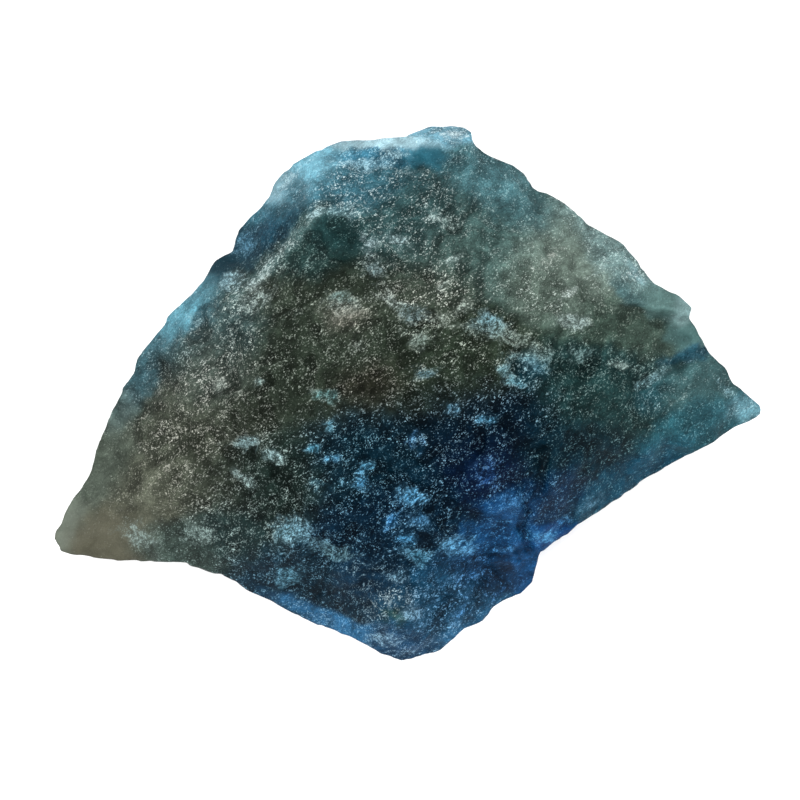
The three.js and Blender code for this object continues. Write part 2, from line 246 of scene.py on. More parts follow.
# Thin cracks of the visual model, and thin ridges where the depth is below zero
# The finish paints shade into these cracks and light onto the ridges, by the relief layer
FINE_LINES = (
    Line("block, right edge", (16.2, -13.4), (17, -16.9), 0.5, 0.8),
    Line("block, foot", (17, -16.9), (15.8, -19.2), 0.5, 0.8),
    Line("notch, crack", (16.4, -20), (17.8, -22.9), 0.5, 0.8),
    Line("ledge, under the lip", (10.6, -22.7), (15.4, -22.5), 0.5, 0.8),
    Line("ledge, lip", (10.4, -21.9), (15.6, -21.7), 0.5, -0.4),
    Line("right facet, foot", (32, 11.8), (36, 10.7), 0.5, 0.45),
    Line("right facet, foot, outer", (36, 10.7), (39.8, 7.6), 0.5, 0.3),
    Line("groove, crack", (39.4, 5.4), (43, 7.2), 0.4, 0.6),
    Line("fan, upper edge", (32.8, 2), (37.4, 4), 0.5, -0.4),
    Line("ring, top", (13.8, 5.3), (16.8, 6), 0.5, -0.45),
    Line("ring, right", (17.4, 5.4), (17.6, 2.6), 0.5, -0.45),
    Line("ring, left", (13.8, 5.3), (13.2, 1.6), 0.5, -0.45),
    Line("ring, heart", (15.2, 3.6), (16.2, 1.2), 0.5, 0.5),
    Line("nub, first crease", (7.6, -24.4), (10.4, -27), 0.5, 0.6),
    Line("nub, second crease", (11.4, -24.6), (14.2, -26.6), 0.5, 0.6),
    Line("nub, third crease", (3.2, -26.2), (6, -28.6), 0.5, 0.5),
    Line("tip, facet edge", (-38.8, -19.4), (-34.8, -24), 0.5, 0.4),
)

# Smooth hills that shift the thin cracks and the patches of colour, so that they wander
WANDER = (Texture(6.5, 0.6), Texture(2.4, 0.6), Texture(1.1, 0.6))

# Large odd numbers that scatter the lattice, and the shifts and products that mix its bits
CELL_ODDS = (374761393, 668265263, 1274126177)
KIND_ODD = 1442695041
MIXES = ((13, 1103515245), (15, 739982445), (16, 1))
WORD = 2**32


class Kind(IntEnum):
    """Kinds of scattered values, so that no two textures share the same draw."""

    SWELL = 1
    CHIP_PLACE = 11
    CHIP_TILT = 21
    BLOCK = 31
    FOOT = 41
    BACK = 51
    FINE = 61
    NICK = 65
    TINT = 71


def cell_value(i: Array, j: Array, k: Array, kind: int) -> Array:
    """Gives the scattered value of lattice cells.

    The three cell numbers and the kind are multiplied by large odd numbers and added, and the
    sum is mixed by shifts and products in 32 bits.

    Args:
        i: Cell numbers along X.
        j: Cell numbers along Y.
        k: Cell numbers along Z.
        kind: Which draw it is.

    Returns:
        One value from 0 to 1 for each cell.
    """
    bits = np.uint32(int(kind) * KIND_ODD % WORD)
    for numbers, odd in zip((i, j, k), CELL_ODDS):
        bits = bits + numbers.astype(np.uint32) * np.uint32(odd)
    for shift, odd in MIXES:
        bits = (bits ^ (bits >> np.uint32(shift))) * np.uint32(odd)
    return bits / float(WORD)


def smooth_step(value: Array, low: float, high: float) -> Array:
    """Rises from 0 at low to 1 at high as 3t² - 2t³."""
    t = np.clip((value - low) / (high - low), 0, 1)
    return t * t * (3 - 2 * t)


def swell(points: Array, size: float, kind: int) -> Array:
    """Gives smooth hills from -1 to 1.

    The value is blended between the eight corners of a lattice cell with smooth weights.

    Args:
        points: Places, one row of three each.
        size: About how wide a hill is.
        kind: Which draw it is.

    Returns:
        One height for each place.
    """
    place = points / size
    cell = np.floor(place).astype(np.int64)
    part = smooth_step(place - cell, 0, 1)
    total = np.zeros(len(points))
    for corner in range(8):
        step = np.array((corner & 1, corner >> 1 & 1, corner >> 2))
        weight = np.prod(np.where(step, part, 1 - part), axis=1)
        total += weight * cell_value(*(cell + step).T, kind)
    return 2 * total - 1


def chips(points: Array, texture: Texture) -> Array:
    """Gives the height of broken chips: scattered tilted flats, where the nearest counts most.

    The height is the mean of 2·steepness·size·(tilt · offset) over the 27 cells around a place,
    with weights exp(-sharpness·offset²).

    Args:
        points: Places, one row of three each.
        texture: How wide the chips are and how steep.

    Returns:
        One height for each place.
    """
    place = points / texture.size
    cell = np.floor(place).astype(np.int64)
    total = np.zeros(len(points))
    height = np.zeros(len(points))
    for near in np.ndindex(3, 3, 3):
        other = cell + np.array(near) - 1
        corner = [cell_value(*other.T, Kind.CHIP_PLACE + axis) for axis in range(3)]
        tilt = [2 * cell_value(*other.T, Kind.CHIP_TILT + axis) - 1 for axis in range(3)]
        offset = place - other - np.stack(corner, axis=1)
        weight = np.exp(-CHIP_SHARPNESS * np.sum(offset**2, axis=1))
        total += weight
        height += weight * np.sum(offset * np.stack(tilt, axis=1), axis=1)
    return 2 * texture.strength * texture.size * height / total


def oval_distance(flat: Array, oval: Spot) -> Array:
    """Gives the squared distance from an oval's middle, counted in its half widths.

    Args:
        flat: Places, one row of X and Y each.
        oval: The oval.

    Returns:
        One squared distance for each place.
    """
    angle = math.radians(oval.turn)
    dx, dy = (flat - np.array(oval.at)).T
    along = (dx * math.cos(angle) + dy * math.sin(angle)) / oval.halves[0]
    across = (dy * math.cos(angle) - dx * math.sin(angle)) / oval.halves[1]
    return along**2 + across**2


def beside(flat: Array, start: Place, end: Place) -> tuple[Array, Array]:
    """Tells where places lie beside a line.

    Args:
        flat: Places, one row of X and Y each.
        start: Where the line starts.
        end: Where the line ends.

    Returns:
        How far each place is to the right of the line, and how far it is past the line's ends.
    """
    run = np.subtract(end, start)
    length = float(np.hypot(*run))
    dx, dy = (flat - np.array(start)).T
    along = (dx * run[0] + dy * run[1]) / length
    right = (dx * run[1] - dy * run[0]) / length
    return right, np.maximum(0, np.maximum(-along, along - length))


def with_height(flat: Array, height: float | Array = 0.0) -> Array:
    """Joins flat places with a height into rows of three."""
    return np.column_stack((flat, np.broadcast_to(height, len(flat))))


def line_depth(flat: Array, lines: Sequence[Line]) -> Array:
    """Gives how deep lines cut: the sum of depth·exp(-(distance / half width)²).

    Args:
        flat: Places, one row of X and Y each.
        lines: The grooves and ridges.

    Returns:
        One depth for each place.
    """
    depth = np.zeros(len(flat))
    for line in lines:
        right, past = beside(flat, line.start, line.end)
        depth += line.depth * np.exp(-(right**2 + past**2) / line.half**2)
    return depth


def fine_texture(points: Array) -> Array:
    """Gives the fine breaks that only the visual model carries, as chips plus grains.

    Args:
        points: Places, one row of three each.

    Returns:
        One height for each place.
    """
    height = FINE_SWELL.strength * swell(points, FINE_SWELL.size, Kind.FINE)
    for texture in FINE_CHIPS:
        height += chips(points, texture)
    return height


def wandering(points: Array, flat: Array) -> Array:
    """Shifts places by smooth hills of a few sizes, so that edges wander.

    Args:
        points: Places, one row of three each, which the hills are taken at.
        flat: The places to shift, one row of X and Y each.

    Returns:
        The shifted places.
    """
    shifted = flat.copy()
    for index, hill in enumerate(WANDER):
        for axis in (0, 1):
            draw = Kind.TINT + 2 * index + axis
            shifted[:, axis] += hill.strength * swell(points, hill.size, draw)
    return shifted


def drawn_in(rim: Array, inset: Array) -> Array:
    """Draws places on the rim in towards the heart.

    Args:
        rim: The places, one row of X and Y each.
        inset: How far each place moves.

    Returns:
        The moved places.
    """
    outward = rim - HEART
    length = np.hypot(*outward.T)
    return HEART + outward * ((length - inset) / length)[:, None]


def along_side(side: Sequence[Place], share: Array) -> Array:
    """Finds places along one side of the outline, on its straight breaks.

    Args:
        side: The side's points in order.
        share: The share of the side's length for each wanted place.

    Returns:
        One row of X and Y for each share.
    """
    corners = np.array(side, dtype=float)
    length = np.concatenate(([0.0], np.cumsum(np.hypot(*np.diff(corners, axis=0).T))))
    at = share * length[-1]
    return np.column_stack([np.interp(at, length, corners[:, axis]) for axis in (0, 1)])


@dataclass(frozen=True)
class UpperSide:
    """The upper side: flat broken faces, with relief, broken texture and thin cracks over them."""

    face_blend: float = 0.9
    step_edge: float = 0.7
    step_end: float = 2.0

    def faces(self, flat: Array) -> Array:
        """Joins the flat faces as -blend·ln of the sum of exp(-height / blend).

        Args:
            flat: Places, one row of X and Y each.

        Returns:
            One height for each place.
        """
        total = np.zeros(len(flat))
        for face in UPPER_FACES:
            angle = math.radians(face.falls)
            dx, dy = (flat - np.array(face.at[:2])).T
            run = dx * math.cos(angle) + dy * math.sin(angle)
            total += np.exp(-(face.at[2] - face.slope * run) / self.face_blend)
        return -self.face_blend * np.log(total)

    def relief(self, flat: Array) -> Array:
        """Adds up the lumps, scars, lines and steps.

        A lump is height·exp(-d²), a scar is depth·(1 - d²) inside its rim, a line is
        depth·exp(-(distance / half)²), and a step is its drop times a smooth edge that fades over
        its reach.

        Args:
            flat: Places, one row of X and Y each.

        Returns:
            One height for each place.
        """
        height = np.zeros(len(flat))
        for lump in LUMPS:
            height += lump.strength * np.exp(-oval_distance(flat, lump))
        for scar in SCARS:
            height -= scar.strength * np.maximum(0, 1 - oval_distance(flat, scar))
        height -= line_depth(flat, LINES)
        for step in STEPS:
            right, past = beside(flat, step.start, step.end)
            edge = smooth_step(right, -self.step_edge, self.step_edge)
            fading = np.maximum(0, right) / step.reach + past / self.step_end
            height -= step.drop * edge * np.exp(-fading)
        return height

    def texture_share(self, flat: Array) -> Array:
        """Gives the share of texture that is left: the product of 1 - share·exp(-d²).

        Args:
            flat: Places, one row of X and Y each.

        Returns:
            One share for each place, below one where the salt is smooth.
        """
        left = np.ones(len(flat))
        for place in SMOOTH_PLACES:
            left *= 1 - place.strength * np.exp(-oval_distance(flat, place))
        return left

    def height(self, flat: Array) -> Array:
        """Adds up the faces, the relief, the texture where it isn't smooth, and the thin cracks.

        Args:
            flat: Places, one row of X and Y each.

        Returns:
            One height for each place.
        """
        points = with_height(flat)
        texture = sum(chips(points, chip) for chip in CHIPS)
        for index, hill in enumerate(SWELLS):
            texture = texture + hill.strength * swell(points, hill.size, Kind.SWELL + index)
        texture = (texture + fine_texture(points)) * self.texture_share(flat)
        texture = texture - line_depth(wandering(points, flat), FINE_LINES)
        return self.faces(flat) + self.relief(flat) + texture


@dataclass(frozen=True)
class FlatBack:
    """The back: a flat cleavage patch, with hills and broken hollows around it."""

    flat_radius: float = 15.0
    hills: Texture = Texture(11, 1.5)
    hills_low: float = 0.25
    chip: Texture = Texture(6.5, 0.3)
    edge_lift: float = 2.2
    edge_start: float = 0.8

    def height(self, flat: Array, reach: Array) -> Array:
        """Gives the height of the back, zero on the flat patch.

        Around the patch it is strength·(hills - low), plus chips, plus depth·(1 - d²) inside each
        hollow, plus a lift that grows as the square of the way from its start to the foot's edge.

        Args:
            flat: Places, one row of X and Y each.
            reach: 0 at the middle and 1 at the foot's edge, for each place.

        Returns:
            One height for each place, never below zero.
        """
        points = with_height(flat)
        from_heart = np.hypot(*(flat - HEART).T)
        broken = np.clip(from_heart / self.flat_radius - 1, 0, 1)
        lift = self.hills.strength * (swell(points, self.hills.size, Kind.BACK) - self.hills_low)
        lift += chips(points, self.chip) + fine_texture(points)
        for scar in BACK_SCARS:
            lift += scar.strength * np.maximum(0, 1 - oval_distance(flat, scar))
        edge = np.maximum(0, (reach - self.edge_start) / (1 - self.edge_start))
        lift += self.edge_lift * edge**2
        return np.maximum(0, lift * broken)


@dataclass(frozen=True)
class BrokenWall:
    """The wall of blocky breaks, from the nicked rim in to the foot."""

    nicks: tuple[Texture, ...] = (Texture(2.6, 0.3), Texture(1.1, 0.22))
    foot_inset: float = 4.2
    foot_change: float = 2.6
    foot_hills: float = 16.0
    block_size: float = 6.2
    block_depth: float = 0.8
    block_turn: float = 0.35
    curve: float = 2.0
    chip: Texture = Texture(7, 0.3)

    def nicked(self, rim: Array) -> Array:
        """Draws places on the rim in by small nicks: strength times the part of a hill above zero.

        Args:
            rim: The places, one row of X and Y each.

        Returns:
            The nicked places.
        """
        depth = np.zeros(len(rim))
        for index, nick in enumerate(self.nicks):
            hills = swell(with_height(rim), nick.size, Kind.NICK + index)
            depth += nick.strength * np.maximum(0, hills)
        return drawn_in(rim, depth)

    def foot(self, rim: Array) -> Array:
        """Gives how far the foot lies inside places on the rim: inset + change·hills."""
        hills = swell(with_height(rim), self.foot_hills, Kind.FOOT)
        return self.foot_inset + self.foot_change * hills

    def inset(self, points: Array, rim: Array, down: Array) -> Array:
        """Gives how far the wall is broken in: foot·down^curve + broken·4·down·(1 - down).

        Args:
            points: Places on the rim with the wall's own heights.
            rim: The same places, flat.
            down: 0 at the rim and 1 at the foot, for each place.

        Returns:
            One inset for each place.
        """
        cos, sin = math.cos(self.block_turn), math.sin(self.block_turn)
        x, y = rim.T
        turned = np.column_stack((x * cos + y * sin, y * cos - x * sin))
        cell = np.floor(with_height(turned, points[:, 2]) / self.block_size).astype(np.int64)
        broken = self.block_depth * cell_value(*cell.T, Kind.BLOCK)
        broken = broken + np.abs(chips(points, self.chip))
        broken = broken + np.abs(fine_texture(points))
        return self.foot(rim) * down**self.curve + broken * 4 * down * (1 - down)


# Colours of the salt, zone by zone


@dataclass(frozen=True)
class Zone(Spot):
    """A broad patch of colour in the salt.

    The ground is the dim salt itself, and the glint is the colour of the painted glints of its
    lit grains. The share says how thick the grains lie.
    """

    ground: str
    glint: str
    share: float


@dataclass(frozen=True)
class Cloud(Spot):
    """A pale cloud of brine bubbles just under the surface: its colour and how dense it is."""

    color: str
    density: float


ZONES = (
    # The left tip and the left side
    Zone("left tip, smooth brown", (-42.3, -19.9), (6.6, 3.6), 12, "#5b5a4b", "#8f938a", 0.14),
    Zone("left tip, rim", (-48.1, -19), (1.6, 4), -20, "#70796e", "#8f958a", 0.1),
    Zone("left side, smooth", (-42.4, -8.1), (3.2, 8), -25, "#4f594f", "#8d988d", 0.26),
    Zone("left side, above the tip", (-37, -13.6), (5, 4), 30, "#4c5045", "#a9aa9d", 0.35),
    Zone("left side, sugary", (-30.3, -5.3), (8, 9), 0, "#383d34", "#bdbfb4", 0.52),
    Zone("left side, upper lace", (-27.4, 3.3), (6, 4.6), 45, "#3d4843", "#ccd2cb", 0.6),
    Zone("left, low", (-33.5, -21), (6, 2.6), -10, "#36443f", "#93aaa4", 0.4),
    Zone("left edge, upper", (-40.6, -2.8), (1.7, 2.6), -22, "#5f716d", "#9fb0ab", 0.25),
    Zone("left, blue band, dark", (-31.7, 4.9), (3, 2.5), 50, "#182c2f", "#86a8ac", 0.32),
    Zone("left side, dark", (-22.8, -2.4), (3.6, 3.2), 0, "#1c211b", "#a8b0a6", 0.4),
    Zone("left, blue band", (-38.1, 1.1), (5.5, 2.2), 58, "#355963", "#8fb4bd", 0.42),
    # The upper left bevel and its ridge
    # The pale teal zones here are partly the salt's tint and partly painted light
    Zone("bevel, teal", (-31.7, 11.1), (5, 2.8), 45, "#588f9f", "#a9ccd6", 0.35),
    Zone("bevel, notch", (-25, 17.9), (2.8, 1.5), 35, "#0c2e3a", "#7fa7b3", 0.12),
    Zone("bevel, navy", (-19.8, 22.9), (5, 2.4), 48, "#153a4a", "#6b93a3", 0.4),
    Zone("shoulder, foot", (-17.3, 26.2), (2.4, 1.2), 45, "#1d444f", "#86acb8", 0.4),
    Zone("bevel, upper teal", (-20.9, 25.6), (2.2, 1.2), 45, "#326372", "#a5c8d4", 0.45),
    Zone("below the bevel", (-24.6, 9), (4, 3.5), 45, "#2f4446", "#b3c8c6", 0.6),
    Zone("speckled ridge", (-17.8, 19.9), (8.5, 0.9), 46, "#425b5a", "#c9dbd9", 0.68),
    # The shoulder, the top rim and the cap
    # The pale shoulder, rim and cap are partly the salt's tint and partly painted light
    Zone("shoulder, sky", (-15, 31.2), (6.4, 2.8), 38, "#70a8ba", "#bfdbe4", 0.3),
    Zone("shoulder, edge", (-18.1, 28.9), (2.4, 1.4), 52, "#8fb0ba", "#c4dbe2", 0.2),
    Zone("shoulder, lace", (-8.2, 28.9), (7.4, 2.4), 0, "#366270", "#d3e8ec", 0.45),
    Zone("top rim, pale", (-4.9, 35.1), (7.6, 0.7), 0, "#9cbec8", "#dceff5", 0.25),
    Zone("cap", (5.4, 36.3), (3.6, 1.2), 0, "#6295a7", "#d0e6ec", 0.5),
    Zone("crease, blue", (-4.6, 33), (4.6, 1.1), 0, "#366f86", "#b5d8e2", 0.55),
    Zone("crease, teal end", (2.5, 32.9), (3, 1.4), 0, "#276071", "#6fa5b5", 0.15),
    Zone("right of the cap", (9.6, 32), (3.6, 2.4), -35, "#305055", "#a3c0c4", 0.5),
    # The hollow and the upper middle
    Zone("dark hollow", (-10.3, 22.6), (4.4, 2.7), -10, "#1b3536", "#6d9694", 0.3),
    Zone("hollow, foot", (-14.6, 18.3), (4, 2.3), 0, "#223837", "#8caaa6", 0.45),
    Zone("upper middle, lace", (1.5, 25.4), (8, 5), 0, "#2a4243", "#c3d4d1", 0.42),
    Zone("upper middle", (6.8, 20.4), (6, 5), 0, "#384a46", "#bccac3", 0.38),
    Zone("cream lace", (3.2, 14.7), (4.5, 3.2), 0, "#343c34", "#d3d9cd", 0.48),
    # The olive middle
    Zone("middle, olive", (-12.5, 7.6), (13, 9), 0, "#272f27", "#aab5a9", 0.37),
    Zone("pinkish patch", (-8.6, 10.4), (3, 2.2), 0, "#4b4e45", "#c3b9ab", 0.65),
    Zone("middle, dark", (4.6, 3.3), (9, 5.5), 0, "#232c23", "#a8b3a6", 0.43),
    Zone("middle, brown", (-5.2, 1.7), (5, 3), 0, "#211f19", "#9c948a", 0.36),
    # The upper right side
    Zone("upper right, teal strip", (12.6, 27.7), (6.5, 2.7), -38, "#4f7c84", "#9cc0c3", 0.35),
    Zone("upper right, green grey", (13.2, 22.5), (6, 5), -30, "#3a5351", "#adc3bf", 0.4),
    Zone("upper right, taupe", (20.4, 18.8), (6, 4.2), -20, "#66766d", "#c9d6cd", 0.3),
    Zone("upper right, sugary", (19.9, 14.5), (5.5, 2.6), -20, "#4e5c54", "#cbd8d0", 0.4),
    Zone("upper right, pale edge", (28.9, 19.4), (6, 2.4), -40, "#66807f", "#c4dad8", 0.5),
    Zone("right, under the rim", (31, 14.5), (2.2, 1.2), -45, "#3f5c5e", "#9fbdbd", 0.35),
    Zone("right rim, white", (32.2, 17.2), (2.1, 0.6), -48, "#86adb3", "#e3eff0", 0.6),
    Zone("right, brown green", (28.8, 9.6), (7, 2.6), -15, "#37473f", "#95a499", 0.35),
    Zone("right facet, green", (35.6, 12.8), (3.6, 1.8), -30, "#5d7e7b", "#93aea7", 0.2),
    Zone("right facet, rim", (38.6, 12), (1.5, 1.9), -40, "#86a5a6", "#a5bfc0", 0.25),
    # The fan, the groove and the right tip
    Zone("right groove", (40.1, 5.5), (2.8, 0.7), 20, "#234c5b", "#7fa5b5", 0.35),
    Zone("above the groove", (38.9, 7.8), (2.2, 1.4), -30, "#4c6e6d", "#82b5c0", 0.15),
    Zone("fan facet", (40.2, 1.1), (5, 2.4), 10, "#385759", "#9bb5b5", 0.3),
    Zone("fan, blue side", (34.3, -0.5), (2.6, 1.6), 25, "#22474f", "#9cc3cb", 0.38),
    Zone("right tip", (47.7, -2), (2.4, 1.3), 0, "#5f8c98", "#b8d6dc", 0.45),
    Zone("lower right, teal", (40.3, -4.6), (6.1, 2.4), 25, "#25535d", "#7cb2ba", 0.35),
    Zone("lower right edge", (32.4, -11), (8, 1.9), 33, "#0b3c51", "#74b0c4", 0.33),
    Zone("ring", (16.2, 2.9), (2.4, 2), 0, "#14343e", "#a5cdd6", 0.42),
    Zone("right of middle", (27.4, -0.3), (7, 5.4), 0, "#1a3030", "#94b2ae", 0.4),
    Zone("right of middle, low", (23.2, -7.7), (6, 4.4), 0, "#081f29", "#7aa9b3", 0.36),
    # The navy middle
    Zone("middle, navy", (10.3, -4.6), (10, 5), 0, "#05131f", "#8fbcd4", 0.35),
    Zone("left of middle, navy", (-6, -8.8), (6.5, 5), 0, "#091c26", "#86bacf", 0.36),
    Zone("indigo", (11.5, -10.5), (4, 3.4), 0, "#05152c", "#6ea2ca", 0.3),
    Zone("lower middle", (-2.5, -18), (7, 5), 0, "#081a28", "#7db2d0", 0.4),
    Zone("ledge block", (14.9, -15.7), (2.6, 2.2), 10, "#123b62", "#5a9ed2", 0.48),
    Zone("ledge shelf", (13, -20.6), (3.8, 1.8), 0, "#103a60", "#4488c0", 0.46),
    Zone("under the ledge", (11.8, -25.2), (5, 2.6), 0, "#0b2540", "#4a90d4", 0.34),
    Zone("beside the ledge", (20.8, -14.2), (3.6, 2.6), 30, "#092640", "#74b0dc", 0.38),
    # The nub
    Zone("notch", (19, -20.6), (3, 1.2), 20, "#083868", "#5aaae2", 0.3),
    Zone("nub edge, deep blue", (16.8, -24.8), (2, 3.2), 0, "#154c7c", "#3c80c6", 0.35),
    Zone("nub, blue", (6.1, -28.8), (7, 3.8), 20, "#13384f", "#7fbbe6", 0.42),
    Zone("nub, right edge", (8.9, -33.1), (5, 1.3), 32, "#245678", "#93bfd8", 0.48),
    Zone("nub, pale", (-1.6, -29.3), (3.6, 2.2), 0, "#19384b", "#b9cfd2", 0.6),
    Zone("nub, olive spot", (-1.8, -31.3), (1.5, 0.9), 0, "#26463f", "#8fa08f", 0.65),
    Zone("nub tip", (-1.1, -35.4), (4.4, 1.4), 0, "#1a3b57", "#86aec8", 0.55),
    Zone("nub, grey", (-6, -26.6), (4.5, 2.3), 0, "#10293c", "#8fb2c2", 0.42),
    # The lower left side
    Zone("lower left edge, blue", (-12, -31.5), (6, 1), -27, "#2a6087", "#8cbcd8", 0.5),
    Zone("lower left, dark blue", (-15.3, -25.9), (7, 3), -20, "#0a202c", "#7fb4cf", 0.42),
    Zone("lower left, dark teal", (-24.6, -20.2), (5, 3), 0, "#182929", "#a3bcb9", 0.5),
    Zone("left of middle, low", (-19.6, -11), (7, 5), 0, "#16221f", "#a3b9b4", 0.4),
)
